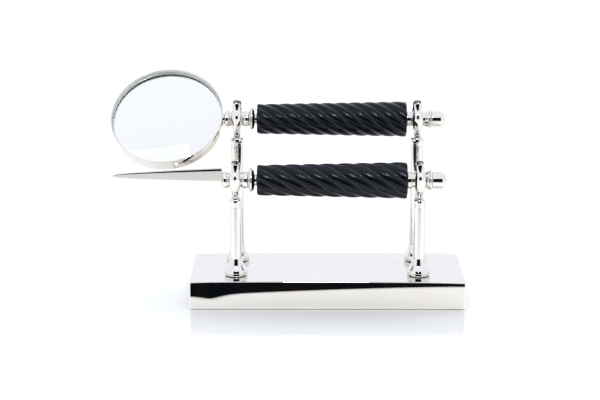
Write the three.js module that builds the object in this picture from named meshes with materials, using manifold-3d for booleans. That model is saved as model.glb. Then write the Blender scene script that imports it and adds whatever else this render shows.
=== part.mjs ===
// A polished desk stand that carries a magnifying glass and a letter opener.
//
// Frame: millimetres, +Z up. The origin is the centre of the base's underside. The two tools lie
// along X, with the ring and the blade at the -X end and the domed end nuts at the +X end. The
// opener rests in the short front pair of posts (-Y) and the glass in the tall rear pair (+Y).

import * as THREE from 'three';
import { mergeVertices } from 'three/addons/utils/BufferGeometryUtils.js';
import Module from 'manifold-3d';

const wasm = await Module();
wasm.setup();

// ---------------------------------------------------------------- driving dimensions

const gap = 0.3; // clearance between pieces that meet
const baseLength = 240;
const baseDepth = 95;
const baseTop = 25; // height of the casting's top face
const cornerRadius = 2.2;
const edgeRadius = 1.5;
const castingWall = 5;
const feltThickness = 1.2;
const boardThickness = 3;
const postSpan = 80; // posts stand this far left and right of the middle
const rowOffset = 23.5; // rows stand this far in front of and behind the middle
const footHeight = 15;
const openerAxis = 110; // height of the opener's axis
const glassAxis = 154.5; // height of the magnifying glass's axis
const journalRadius = 6.15; // the part of each tool that lies in the forks
const throatRadius = 6.6; // half the width of a fork's throat
const forkRise = 15.8; // fork tips above the tool's axis
const forkDrop = 16; // fork's shoulder below the tool's axis
const collarHeight = 7.4;
const screwRadius = 2.5;
const screwHole = 2.8;
const tangRadius = 2.4;
const tangBore = tangRadius + gap;
const ringRadius = 50;
const ringDepth = 12;
const ringCentre = -141.5;
const bandInside = 49.1; // inner radius of the ring's band
const flangeInside = 47.6; // inner radius of the flange behind the lens
const flangeThickness = 1;
const lensFront = 0.9; // front of the lens at its edge, ahead of the ring's middle plane
const lensEdge = 5; // lens thickness at its edge
const lensSag = 2.2; // how far each face rises from the edge to the crown
const flangeFace = lensFront - lensEdge - gap;
const retainerInside = 47.9; // inner radius of the retaining ring in front of the lens
const retainerThickness = 0.8;
const ringLean = THREE.MathUtils.degToRad(44); // how far the lens leans back from upright
const ringYaw = THREE.MathUtils.degToRad(-5); // how far its face turns towards the tool's free end
const bezelBossRadius = 4.8;
const gripStarts = 7; // rope strands carved round each grip
const carveDepth = 1.1;

// ---------------------------------------------------------------- materials

const metal = (color, roughness) => new THREE.MeshStandardMaterial({ color, roughness, metalness: 1 });
const nickel = metal(0xe4e1dc, 0.08);
const steel = metal(0x9a9ca0, 0.35);
const horn = new THREE.MeshStandardMaterial({ color: 0x15181c, roughness: 0.35, metalness: 0 });
const felt = new THREE.MeshStandardMaterial({ color: 0x1c1d20, roughness: 1, metalness: 0 });
const hardboard = new THREE.MeshStandardMaterial({ color: 0x6a4d33, roughness: 0.9, metalness: 0 });
const clearGlass = new THREE.MeshStandardMaterial({
  color: 0xf4fafc, roughness: 0.02, metalness: 0, transparent: true, opacity: 0.3,
});

// ---------------------------------------------------------------- shape helpers

/** A solid of revolution about Z. The profile lists [radius, height] and closes on the axis or itself. */
function turned(profile, segments = 14) {
  const points = profile.map(([radius, height]) => new THREE.Vector2(radius, height));
  const onAxis = points[0].x === 0 && points[points.length - 1].x === 0;
  if (!onAxis) points.push(points[0].clone());
  if (THREE.ShapeUtils.isClockWise(points)) points.reverse();
  return new THREE.LatheGeometry(points, segments).rotateX(Math.PI / 2);
}

/** A solid of revolution about X, from a profile that lists [station along X, radius]. */
function spun(profile, segments = 14) {
  return turned(profile.map(([station, radius]) => [radius, station]), segments).rotateY(Math.PI / 2);
}

/** The same, bored through from end to end for the tang. */
function sleeveOnTang(profile, segments = 14) {
  const first = profile[0][0];
  const last = profile[profile.length - 1][0];
  return spun([...profile, [last, tangBore], [first, tangBore]], segments);
}

/** A closed surface through rings of points along X: each ring joins the next, and the ends are capped. */
function skin(rings) {
  const count = rings[0].length;
  const centreOf = (ring) => ring.reduce((sum, p) => sum.add(p), new THREE.Vector3()).divideScalar(count);
  const points = [...rings.flat(), centreOf(rings[0]), centreOf(rings[rings.length - 1])];
  const end = (rings.length - 1) * count;
  const firstCentre = rings.length * count;
  const index = [];
  for (let j = 0; j < count; j += 1) {
    const next = (j + 1) % count;
    for (let near = 0; near < end; near += count) {
      const far = near + count;
      index.push(near + j, near + next, far + next, near + j, far + next, far + j);
    }
    index.push(firstCentre, next, j);
    index.push(firstCentre + 1, end + j, end + next);
  }
  const geometry = new THREE.BufferGeometry();
  geometry.setAttribute('position', new THREE.Float32BufferAttribute(points.flatMap((p) => p.toArray()), 3));
  geometry.setIndex(index);
  return geometry;
}

/** A rectangle with round corners, centred on the origin. */
function roundedRectangle(width, depth, radius) {
  const x = width / 2 - radius;
  const y = depth / 2 - radius;
  const shape = new THREE.Shape();
  shape.absarc(x, y, radius, 0, Math.PI / 2, false);
  shape.absarc(-x, y, radius, Math.PI / 2, Math.PI, false);
  shape.absarc(-x, -y, radius, Math.PI, Math.PI * 1.5, false);
  shape.absarc(x, -y, radius, Math.PI * 1.5, Math.PI * 2, false);
  return shape;
}

/** A flat plate of a shape between two heights, its edges rounded if asked. */
function plate(shape, bottom, top, round = 0, curveSegments = 4) {
  return new THREE.ExtrudeGeometry(shape, {
    depth: top - bottom - 2 * round,
    curveSegments,
    bevelEnabled: round > 0,
    bevelThickness: round,
    bevelSize: round,
    bevelOffset: -round,
    bevelSegments: 2,
  }).translate(0, 0, bottom + round);
}

/** An upright round bar between two heights, for cutting holes and adding spigots. */
function bar(radius, bottom, top, x = 0, y = 0, segments = 12) {
  return new THREE.CylinderGeometry(radius, radius, top - bottom, segments)
    .rotateX(Math.PI / 2)
    .translate(x, y, (bottom + top) / 2);
}

function toManifold(geometry) {
  const bare = new THREE.BufferGeometry();
  bare.setAttribute('position', geometry.getAttribute('position').clone());
  bare.setIndex(geometry.getIndex());
  const merged = mergeVertices(bare, 1e-4);
  return new wasm.Manifold(new wasm.Mesh({
    numProp: 3,
    vertProperties: new Float32Array(merged.getAttribute('position').array),
    triVerts: new Uint32Array(merged.getIndex().array),
  }));
}

function fromManifold(solid) {
  const { vertProperties, triVerts } = solid.getMesh();
  const geometry = new THREE.BufferGeometry();
  geometry.setAttribute('position', new THREE.Float32BufferAttribute(vertProperties, 3));
  geometry.setIndex(new THREE.Uint32BufferAttribute(triVerts, 1));
  return geometry;
}

const joined = (first, ...others) =>
  fromManifold(others.reduce((solid, other) => solid.add(toManifold(other)), toManifold(first)));
const cut = (first, ...tools) =>
  fromManifold(tools.reduce((solid, tool) => solid.subtract(toManifold(tool)), toManifold(first)));

/** A named mesh, placed inside a group. */
function piece(group, name, geometry, material, position = [0, 0, 0]) {
  const mesh = new THREE.Mesh(geometry, material);
  mesh.name = name;
  mesh.position.set(...position);
  group.add(mesh);
  return mesh;
}

// ---------------------------------------------------------------- base

const boardBottom = feltThickness + gap;
const deckUnderside = baseTop - castingWall;
const pocketRadius = 2; // corners of the hollow and of the board that closes it
const bossBottom = 11;
const bossRadius = 8;
const washerTop = bossBottom - gap;
const washerThickness = 1.2;
const screwSeat = washerTop - washerThickness - gap;
const screwHeadHeight = 3.4;
const screwTop = baseTop + gap + footHeight + 9;

/** The four places where posts stand: side -1 is left, row -1 is front. */
const stations = [
  { label: 'front_left', side: -1, row: -1, axis: openerAxis },
  { label: 'front_right', side: 1, row: -1, axis: openerAxis },
  { label: 'rear_left', side: -1, row: 1, axis: glassAxis },
  { label: 'rear_right', side: 1, row: 1, axis: glassAxis },
].map((station) => ({ ...station, x: station.side * postSpan, y: station.row * rowOffset }));

/** Hollow casting, open below, with four bosses under the deck for the post screws. */
function baseCasting() {
  const deep = -10; // well below the casting, where the tools that open its underside start
  const bossTop = baseTop - castingWall / 2;
  const outer = plate(roundedRectangle(baseLength, baseDepth, cornerRadius), deep, baseTop, edgeRadius);
  const around = roundedRectangle(baseLength * 2, baseDepth * 2, cornerRadius);
  const underside = plate(around, 2 * deep, boardBottom);
  const hollow = roundedRectangle(baseLength - 2 * castingWall, baseDepth - 2 * castingWall, pocketRadius);
  const pocket = plate(hollow, 1.5 * deep, deckUnderside, 0, 1);
  const bosses = stations.map(({ x, y }) => bar(bossRadius, bossBottom, bossTop, x, y));
  const holes = stations.map(({ x, y }) => bar(screwHole, 0, baseTop - deep, x, y));
  return cut(joined(cut(outer, underside, pocket), ...bosses), ...holes);
}

function buildBase(stand) {
  const inset = 2 * (castingWall + gap);
  const feltInset = 3;
  const boardShape = roundedRectangle(baseLength - inset, baseDepth - inset, pocketRadius);
  const board = plate(boardShape, boardBottom, boardBottom + boardThickness, 0, 1);
  const pad = roundedRectangle(baseLength - 2 * feltInset, baseDepth - 2 * feltInset, cornerRadius);
  piece(stand, 'base_casting', baseCasting(), nickel);
  piece(stand, 'base_board', board, hardboard);
  piece(stand, 'base_felt', plate(pad, 0, feltThickness, 0, 2), felt);
}

// ---------------------------------------------------------------- posts

/** Bell-shaped foot: an upright rim below a dome that draws in to the post. */
function bellFoot() {
  const outside = [
    [9.9, 0], [10.6, 0.8], [10.7, 4.6], [10.1, 6.8], [8.6, 9.6], [7.1, 12], [6.3, 14], [6.2, footHeight],
  ];
  return turned([...outside, [screwHole, footHeight], [screwHole, 0]]);
}

/** Column with a blind hole at each end, for the screw below and the fork's spigot above. */
function column(height, bottomRadius, topRadius) {
  const holeDepth = 10;
  return turned([
    [0, holeDepth], [screwHole, holeDepth], [screwHole, 0], [bottomRadius, 0],
    [topRadius, height], [screwHole, height], [screwHole, height - holeDepth], [0, height - holeDepth],
  ]);
}

/** Turned collar between a column and its fork, with a rounded shoulder. */
function collar(radius) {
  const outside = [
    [radius - 0.6, 0], [radius, 0.7], [radius, 2.4], [radius - 0.5, 3], [radius + 0.3, 5.2],
    [radius + 0.2, 6.4], [radius - 0.8, collarHeight],
  ];
  return turned([...outside, [screwHole, collarHeight], [screwHole, 0]]);
}

/** Upright fork whose two prongs stand in front of and behind the tool, with a spigot below. */
function fork() {
  const width = 9.6;
  const round = 1.6;
  const belly = throatRadius + 5.2; // outside of the U below the axis
  const prong = throatRadius + 4.6; // outside of the prongs at the axis
  const flare = 0.4; // tips lean out by this much
  const tip = 2.1; // tip radius
  const shape = new THREE.Shape();
  const tipCentre = prong + flare - tip;
  shape.moveTo(-4.6, -forkDrop);
  shape.lineTo(4.6, -forkDrop);
  shape.quadraticCurveTo(5.2, -belly, prong - 1.4, -7);
  shape.quadraticCurveTo(prong + 0.6, -3, prong, 1.5);
  shape.quadraticCurveTo(prong - 0.8, 6, prong + flare, forkRise - tip);
  shape.absarc(tipCentre, forkRise - tip, tip, 0, Math.PI, false);
  shape.lineTo(throatRadius, 3);
  shape.absarc(0, 0, throatRadius, 0, -Math.PI, true);
  shape.lineTo(-throatRadius, 3);
  shape.absarc(-tipCentre, forkRise - tip, tip, 0, Math.PI, false);
  shape.quadraticCurveTo(-prong + 0.8, 6, -prong, 1.5);
  shape.quadraticCurveTo(-prong - 0.6, -3, -prong + 1.4, -7);
  shape.quadraticCurveTo(-5.2, -belly, -4.6, -forkDrop);
  const body = plate(shape, -width / 2, width / 2, round, 3);
  const upright = new THREE.Matrix4().makeBasis(
    new THREE.Vector3(0, 1, 0),
    new THREE.Vector3(0, 0, 1),
    new THREE.Vector3(1, 0, 0),
  );
  body.applyMatrix4(upright);
  const spigotBelow = 7; // reach of the spigot into the column
  const spigotAbove = 4;
  const spigot = bar(screwRadius, -forkDrop - collarHeight - spigotBelow, -forkDrop + spigotAbove, 0, 0, 10);
  return joined(body, spigot);
}

/** Pan-head screw that comes up through a boss, the foot and into the column. */
function postScrew() {
  const head = 4.6;
  return turned([
    [0, screwSeat - screwHeadHeight], [head - 0.8, screwSeat - screwHeadHeight], [head, screwSeat - 2.4],
    [head, screwSeat], [screwRadius, screwSeat], [screwRadius, screwTop], [0, screwTop],
  ], 10);
}

function washer() {
  const rim = 5.4;
  return turned([[screwHole, 0], [rim, 0], [rim, washerThickness], [screwHole, washerThickness]], 12);
}

function buildPosts(stand) {
  const footTop = baseTop + gap + footHeight;
  for (const { label, row, x, y, axis } of stations) {
    const radius = row < 0 ? 5.3 : 6;
    const collarBottom = axis - forkDrop - gap - collarHeight;
    const columnBottom = footTop + gap;
    const columnHeight = collarBottom - gap - columnBottom;
    piece(stand, `foot_${label}`, bellFoot(), nickel, [x, y, baseTop + gap]);
    piece(stand, `post_${label}`, column(columnHeight, radius + 0.3, radius), nickel, [x, y, columnBottom]);
    piece(stand, `collar_${label}`, collar(radius), nickel, [x, y, collarBottom]);
    piece(stand, `fork_${label}`, fork(), nickel, [x, y, axis]);
    piece(stand, `post_screw_${label}`, postScrew(), steel, [x, y, 0]);
    piece(stand, `post_washer_${label}`, washer(), steel, [x, y, washerTop - washerThickness]);
  }
}

// ---------------------------------------------------------------- what both tools share

/** Grip carved like a right-handed rope, bored for the tang. Lengths run along X. */
function ropeGrip({ from, to, startRadius, endRadius, lead, steps }) {
  const facets = gripStarts * 4;
  const endRound = 1;
  const rings = Array.from({ length: steps + 1 }, (_, i) => {
    const t = i / steps;
    const x = THREE.MathUtils.lerp(from, to, t);
    const twist = (2 * Math.PI * (x - from)) / lead;
    const nominal = THREE.MathUtils.lerp(startRadius, endRadius, t) - (i === 0 || i === steps ? endRound : 0);
    return Array.from({ length: facets }, (__, j) => {
      const strand = Math.abs(Math.sin((Math.PI * j) / 4));
      const angle = (2 * Math.PI * j) / facets + twist;
      const radius = nominal - carveDepth * (1 - strand);
      return new THREE.Vector3(x, radius * Math.cos(angle), radius * Math.sin(angle));
    });
  });
  const bore = spun([[from - 1, 0], [from - 1, tangBore], [to + 1, tangBore], [to + 1, 0]], 14);
  return cut(skin(rings), bore);
}

/** Ferrule, rear journal and flare, turned in one piece. */
function buttJournal({ from, ferruleEnd, flareStart, to, ferruleRadius, flareRadius }) {
  return sleeveOnTang([
    [from, ferruleRadius - 0.5], [from + 0.6, ferruleRadius], [ferruleEnd - 0.6, ferruleRadius],
    [ferruleEnd, journalRadius], [flareStart, journalRadius],
    [(flareStart + to) / 2, (journalRadius + flareRadius) / 2 - 0.3], [to, flareRadius],
  ]);
}

function endDisc(from, to, radius) {
  return sleeveOnTang([[from, radius - 0.5], [(from + to) / 2, radius], [to, radius - 0.5]]);
}

const nutWeb = 5.4; // metal between the nut's hole and the top of its dome
const domeShare = 0.62; // length of the dome over its radius

/** Domed nut that closes the tool, with a blind hole for the tang. */
function endNut(from, to, radius) {
  const domeStart = to - radius * domeShare;
  const dome = [20, 45, 70].map((degrees) => {
    const angle = THREE.MathUtils.degToRad(degrees);
    return [domeStart + (to - domeStart) * Math.sin(angle), radius * Math.cos(angle)];
  });
  const holeEnd = to - nutWeb;
  return spun([
    [holeEnd, 0], [holeEnd, tangBore], [from, tangBore], [from, radius - 0.6], [from + 0.7, radius],
    [domeStart, radius], ...dome, [to, 0],
  ]);
}

const tang = (from, to) => spun([[from, 0], [from, tangRadius], [to, tangRadius], [to, 0]], 12);

// ---------------------------------------------------------------- magnifying glass

/** Thin-walled band with a flange inside it, near the back, that the lens rests against. */
function bezelRing() {
  const half = ringDepth / 2;
  const ring = turned([
    [ringRadius - 0.5, -half], [ringRadius, 0.5 - half], [ringRadius, half - 0.5], [ringRadius - 0.4, half],
    [bandInside, half], [bandInside, flangeFace], [flangeInside, flangeFace],
    [flangeInside, flangeFace - flangeThickness], [bandInside, flangeFace - flangeThickness],
    [bandInside, -half],
  ], 56);
  return ring.rotateX(ringLean).rotateZ(ringYaw);
}

/** The ring with the small boss that the neck screws into, in the tool's own frame. */
function bezelWithBoss() {
  const bossFace = -ringCentre + glassStations.neck - gap;
  const bossRoot = bandInside + 0.3;
  const holeRoot = ringRadius - 0.3;
  const past = bossFace + 3;
  const boss = spun([[bossRoot, 0], [bossRoot, bezelBossRadius], [bossFace, bezelBossRadius], [bossFace, 0]]);
  const hole = spun([[holeRoot, 0], [holeRoot, tangBore], [past, tangBore], [past, 0]], 12);
  return cut(joined(bezelRing(), boss), hole);
}

/** Double-convex lens, turned about its own axis. */
function lens() {
  const radius = bandInside - gap;
  const edge = lensEdge / 2;
  const face = [0, 0.3, 0.55, 0.8, 1].map((t) => [radius * t, edge + lensSag * (1 - t * t)]);
  const back = [...face].reverse().map(([r, h]) => [r, -h]);
  return turned([...face, ...back], 32);
}

/** Thin ring that holds the lens against the flange from the front. */
function lensRetainer() {
  const outside = bandInside - gap;
  const bottom = lensFront + gap;
  const top = bottom + retainerThickness;
  return turned([[retainerInside, bottom], [outside, bottom], [outside, top], [retainerInside, top]], 36);
}

const glassStations = {
  neck: -90.6, flange: -69.6, flangeEnd: -62.4, grip: -62.1, gripEnd: 70, ferruleEnd: 74.6, flare: 84.9,
  disc: 90.5, nut: 92.1, end: 104.6,
};

function buildMagnifier(carrier, tool) {
  const s = glassStations;
  const tangLead = 0.8; // reach of the tang past the neck, into the ring's boss
  piece(carrier, 'magnifier_tang', tang(s.neck - tangLead, s.end - nutWeb - gap), steel);
  piece(tool, 'bezel_ring', bezelWithBoss(), nickel, [ringCentre, 0, 0]);
  const leaning = new THREE.Group();
  leaning.position.set(ringCentre, 0, 0);
  leaning.rotation.set(ringLean, 0, ringYaw, 'ZYX');
  tool.add(leaning);
  piece(leaning, 'magnifier_lens', lens(), clearGlass, [0, 0, lensFront - lensEdge / 2]);
  piece(leaning, 'lens_retainer', lensRetainer(), nickel);
  piece(tool, 'magnifier_neck', sleeveOnTang([
    [s.neck, 5.8], [s.neck + 0.8, 7.3], [s.neck + 2.2, 7.5], [s.neck + 3.4, 7], [s.neck + 3.8, journalRadius],
    [-73.8, journalRadius], [-73.2, 7], [-71.6, 7.3], [-69.9, 6.6],
  ]), nickel);
  piece(tool, 'magnifier_flange', sleeveOnTang([
    [s.flange, 6.8], [-67.9, 9.4], [-66.9, 10.8], [-65.9, 10.6], [-64.2, 7.6], [-64, 4.6], [s.flangeEnd, 4.6],
  ]), nickel);
  piece(tool, 'magnifier_grip', ropeGrip({
    from: s.grip, to: s.gripEnd, startRadius: 13.3, endRadius: 15.7, lead: 86, steps: 20,
  }), horn);
  piece(tool, 'magnifier_butt_journal', buttJournal({
    from: s.gripEnd + gap, ferruleEnd: s.ferruleEnd, flareStart: s.flare, to: s.disc - gap,
    ferruleRadius: 6.85, flareRadius: 8,
  }), nickel);
  piece(tool, 'magnifier_end_disc', endDisc(s.disc, s.nut - gap, 9.1), nickel);
  piece(tool, 'magnifier_end_nut', endNut(s.nut, s.end, 7.3), nickel);
}

// ---------------------------------------------------------------- letter opener

const openerStations = {
  tip: -186, neck: -90.5, flange: -69.4, flangeEnd: -61.4, grip: -61.1, gripEnd: 68.8, ferruleEnd: 73.1,
  flare: 84.9, disc: 88.1, nut: 90.4, end: 103.4,
};

/** Tongue at the blade's root, which overlaps the blade and sits in the neck's slot. */
const tongueSize = { length: 5.5, thickness: 2.6, height: 8.6, overlap: 1.5 };

/** Blade with a straight back, a curved lower edge and a lens-shaped section, and a tongue at its root. */
function blade() {
  const root = openerStations.neck - gap;
  const halfThickness = 1.7;
  const steps = 10;
  const rings = [];
  for (let i = 0; i <= steps; i += 1) {
    const t = i / steps; // 0 at the tip, 1 at the root
    const x = THREE.MathUtils.lerp(openerStations.tip, root, t);
    const back = THREE.MathUtils.lerp(4.2, 11, t ** 0.6);
    const edge = 2.4 - 9.6 * t ** 0.55;
    const middle = (back + edge) / 2;
    const half = (back - edge) / 2;
    const thick = halfThickness * (0.35 + 0.65 * Math.min(1, t * 3));
    rings.push(Array.from({ length: 12 }, (_, j) => {
      const angle = (2 * Math.PI * j) / 12;
      return new THREE.Vector3(x, thick * Math.cos(angle), middle + half * Math.sin(angle));
    }));
  }
  const { length, thickness, height, overlap } = tongueSize;
  const tongue = new THREE.BoxGeometry(length, thickness, height)
    .translate(root + length / 2 - overlap, 0, 0);
  return joined(skin(rings), tongue);
}

/** Neck of the opener: bead, front journal and bead, with a slot for the blade's tongue. */
function openerNeck() {
  const s = openerStations;
  const neck = sleeveOnTang([
    [s.neck, 6], [s.neck + 0.8, 7], [s.neck + 2.6, 7.2], [s.neck + 4.2, 6.7], [s.neck + 4.7, journalRadius],
    [-74, journalRadius], [-73.4, 7], [-71.6, 7.4], [-69.7, 6.8],
  ]);
  const { length, thickness, height, overlap } = tongueSize;
  const slotDepth = length - overlap; // the tongue's reach past the neck's face, and the gap before it
  const slot = new THREE.BoxGeometry(2 * slotDepth, thickness + 2 * gap, height + 2 * gap)
    .translate(s.neck, 0, 0);
  return cut(neck, slot);
}

function buildOpener(carrier, tool) {
  const s = openerStations;
  const tangStart = s.neck + 4.4; // clear of the blade's tongue
  piece(carrier, 'opener_tang', tang(tangStart, s.end - nutWeb - gap), steel);
  piece(tool, 'opener_blade', blade(), nickel);
  piece(tool, 'opener_neck', openerNeck(), nickel);
  piece(tool, 'opener_flange', sleeveOnTang([
    [s.flange, 7], [-67.6, 9.6], [-66.6, 11], [-65.4, 10.8], [-63.4, 8.2], [-63.1, 4.8], [s.flangeEnd, 4.8],
  ]), nickel);
  piece(tool, 'opener_grip', ropeGrip({
    from: s.grip, to: s.gripEnd, startRadius: 13.3, endRadius: 16, lead: 106, steps: 18,
  }), horn);
  piece(tool, 'opener_butt_journal', buttJournal({
    from: s.gripEnd + gap, ferruleEnd: s.ferruleEnd, flareStart: s.flare, to: s.disc - gap,
    ferruleRadius: 7.3, flareRadius: 8.2,
  }), nickel);
  piece(tool, 'opener_end_disc', endDisc(s.disc, s.nut - gap, 9.2), nickel);
  piece(tool, 'opener_end_nut', endNut(s.nut, s.end, 7.5), nickel);
}

// ---------------------------------------------------------------- assembly

const model = new THREE.Group();

const stand = new THREE.Group();
buildBase(stand);
buildPosts(stand);
model.add(stand);

const glassGroup = new THREE.Group();
glassGroup.position.set(0, rowOffset, glassAxis);
buildMagnifier(glassGroup, glassGroup);
model.add(glassGroup);

const openerGroup = new THREE.Group();
openerGroup.position.set(0, -rowOffset, openerAxis);
buildOpener(openerGroup, openerGroup);
model.add(openerGroup);

export default model;
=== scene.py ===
"""A polished nickel desk stand that carries a magnifying glass and a letter opener.

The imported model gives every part's place. Each part is made again here as a fine surface, dressed
in its finish, and rides on the body that its part belongs to. Sizes are in millimetres until a
surface becomes a mesh.
"""
import logging
import math
from dataclasses import dataclass, field
from enum import Enum
from typing import Callable, Optional, Sequence

import bpy
import numpy as np
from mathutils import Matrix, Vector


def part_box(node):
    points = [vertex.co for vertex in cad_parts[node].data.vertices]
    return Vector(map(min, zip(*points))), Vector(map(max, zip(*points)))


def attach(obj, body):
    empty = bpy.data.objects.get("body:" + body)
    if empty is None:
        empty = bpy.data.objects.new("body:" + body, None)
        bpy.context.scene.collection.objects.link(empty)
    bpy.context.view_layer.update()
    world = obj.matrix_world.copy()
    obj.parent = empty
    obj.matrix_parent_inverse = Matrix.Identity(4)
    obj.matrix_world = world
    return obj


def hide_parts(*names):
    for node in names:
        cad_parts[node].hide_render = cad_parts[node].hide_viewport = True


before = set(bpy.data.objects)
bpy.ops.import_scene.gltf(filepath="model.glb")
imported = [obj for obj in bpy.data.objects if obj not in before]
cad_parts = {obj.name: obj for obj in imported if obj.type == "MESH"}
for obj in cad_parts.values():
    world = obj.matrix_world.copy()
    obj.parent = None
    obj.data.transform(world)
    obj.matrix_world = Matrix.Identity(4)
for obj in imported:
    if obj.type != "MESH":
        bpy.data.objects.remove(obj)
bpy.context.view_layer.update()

logging.basicConfig(level=logging.INFO, format="%(message)s")
log = logging.getLogger("desk_stand")

Array = np.ndarray
Corner = tuple[float, float, float]  # station, radius, size of the rounding
MM = 0.001
BORE = 2.7  # radius of the hole that each tang runs through
SCREW_HOLE = 2.8  # radius of the holes for the post screws and the forks' spigots
PITCH = 0.8  # rise of every thread in one turn
THREAD_DEPTH = 0.35  # depth of the threads on the tangs and the spigots
POST_LABELS = ("front_left", "front_right", "rear_left", "rear_right")
SHARP_ANGLE = math.radians(34)


class Body(Enum):
    """The bodies that the pieces ride on."""

    STAND = "stand"
    GLASS_ROD = "magnifier_rod"
    GLASS = "magnifier"
    OPENER_ROD = "opener_rod"
    OPENER = "opener"


class Slot(Enum):
    """Names of the material slots."""

    NICKEL = "nickel"
    BLADE = "blade_nickel"
    GRIP = "carved_grip"
    LENS = "lens_glass"
    FELT = "felt"
    BOARD = "hardboard"
    STEEL = "steel"


# ------------------------------------------------------------------ surfaces


@dataclass(frozen=True)
class Axis:
    """A line that shapes are turned about: its origin, its direction and two directions across it."""

    origin: tuple[float, float, float]
    along: tuple[float, float, float]
    across: tuple[float, float, float]
    up: tuple[float, float, float]

    def place(self, station: Array, radius: Array, theta: Array) -> Array:
        """Turns stations, radii and angles about the axis into points.

        Args:
            station: Distance along the axis.
            radius: Distance from the axis.
            theta: Angle from the across direction towards the up direction.

        Returns:
            Points with the shape of the arrays and a last dimension of three.
        """
        return (
            np.asarray(self.origin)
            + station[..., None] * np.asarray(self.along)
            + (radius * np.cos(theta))[..., None] * np.asarray(self.across)
            + (radius * np.sin(theta))[..., None] * np.asarray(self.up)
        )


def axis_x(origin: Sequence[float]) -> Axis:
    """An axis along X through a point."""
    return Axis(tuple(origin), (1, 0, 0), (0, 1, 0), (0, 0, 1))


def axis_z(origin: Sequence[float]) -> Axis:
    """An axis along Z through a point."""
    return Axis(tuple(origin), (0, 0, 1), (1, 0, 0), (0, 1, 0))


@dataclass
class Skin:
    """A closed skin: a grid of points whose columns join round, and whose rows join or end in poles.

    Attributes:
        points: Grid of rows, columns and coordinates.
        poles: The two points that close the first and the last row, or None where the rows join.
        paint: Named values or vectors on the same grid, for materials to read.
        slots: Material number of each row of faces, or None where all faces share the first.
    """

    points: Array
    poles: Optional[tuple[Array, Array]] = None
    paint: dict[str, Array] = field(default_factory=dict)
    slots: Optional[Array] = None

    def vertices(self) -> Array:
        """All vertices as one list, the poles last."""
        grid = self.points.reshape(-1, 3)
        if self.poles is None:
            return grid
        return np.vstack([grid, *[np.reshape(pole, (1, 3)) for pole in self.poles]])

    def faces(self) -> tuple[Array, Array]:
        """Four-sided faces of the grid and three-sided faces round the poles.

        Returns:
            The quads and the triangles, as rows of vertex numbers that turn outwards.
        """
        rows, columns = self.points.shape[:2]
        index = np.arange(rows * columns).reshape(rows, columns)
        near = index if self.poles is None else index[:-1]
        far = np.roll(index, -1, axis=0) if self.poles is None else index[1:]
        quads = np.stack([near, np.roll(near, -1, 1), np.roll(far, -1, 1), far], -1).reshape(-1, 4)
        triangles = np.zeros((0, 3), int)
        if self.poles is not None:
            first, last = rows * columns, rows * columns + 1
            start, end = index[0], index[-1]
            triangles = np.vstack([
                np.stack([np.full(columns, first), np.roll(start, -1), start], -1),
                np.stack([np.full(columns, last), end, np.roll(end, -1)], -1),
            ])
        points = self.vertices()
        halves = np.vstack([triangles, quads[:, :3], quads[:, [0, 2, 3]]])
        a, b, c = (points[halves[:, k]] for k in range(3))
        if np.einsum("ij,ij->", a, np.cross(b, c)) < 0:
            quads, triangles = quads[:, ::-1], triangles[:, ::-1]
        return quads, triangles

    def face_slots(self) -> Array:
        """Material number of every face, in the order of faces()."""
        rows, columns = self.points.shape[:2]
        count = rows if self.poles is None else rows - 1
        slots = np.zeros(count, int) if self.slots is None else self.slots
        ends = [] if self.poles is None else [np.full(columns, slots[0]), np.full(columns, slots[-1])]
        return np.concatenate([np.repeat(slots, columns), *ends])


def build(name: str, skins: Sequence[Skin], sharp: float = SHARP_ANGLE) -> bpy.types.Object:
    """Makes one object from closed skins.

    Args:
        name: Name of the piece.
        skins: Skins in millimetres.
        sharp: Faces that meet at more than this angle keep a crisp edge.

    Returns:
        The object, at the origin, with its place in its mesh.
    """
    vertices, polygons, slots, start = [], [], [], 0
    paint: dict[str, list[Array]] = {}
    for skin in skins:
        quads, triangles = skin.faces()
        vertices.append(skin.vertices())
        polygons += (quads + start).tolist() + (triangles + start).tolist()
        slots.append(skin.face_slots())
        for key, grid in skin.paint.items():
            flat = grid.reshape(skin.points.shape[0] * skin.points.shape[1], -1)
            if skin.poles is not None:
                columns = skin.points.shape[1]
                flat = np.vstack([flat, flat[:columns].mean(0), flat[-columns:].mean(0)])
            paint.setdefault(key, []).append(flat)
        start += len(vertices[-1])
    mesh = bpy.data.meshes.new(name)
    mesh.from_pydata((np.vstack(vertices) * MM).tolist(), [], polygons)
    mesh.polygons.foreach_set("material_index", np.concatenate(slots).astype(np.int32))
    for key, parts in paint.items():
        values = np.vstack(parts).astype(np.float32)
        kind, member = ("FLOAT", "value") if values.shape[1] == 1 else ("FLOAT_VECTOR", "vector")
        mesh.attributes.new(key, kind, "POINT").data.foreach_set(member, values.ravel())
    mesh.shade_smooth()
    mesh.set_sharp_from_angle(angle=sharp)
    mesh.validate()
    obj = bpy.data.objects.new(name, mesh)
    bpy.context.scene.collection.objects.link(obj)
    return obj


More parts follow.
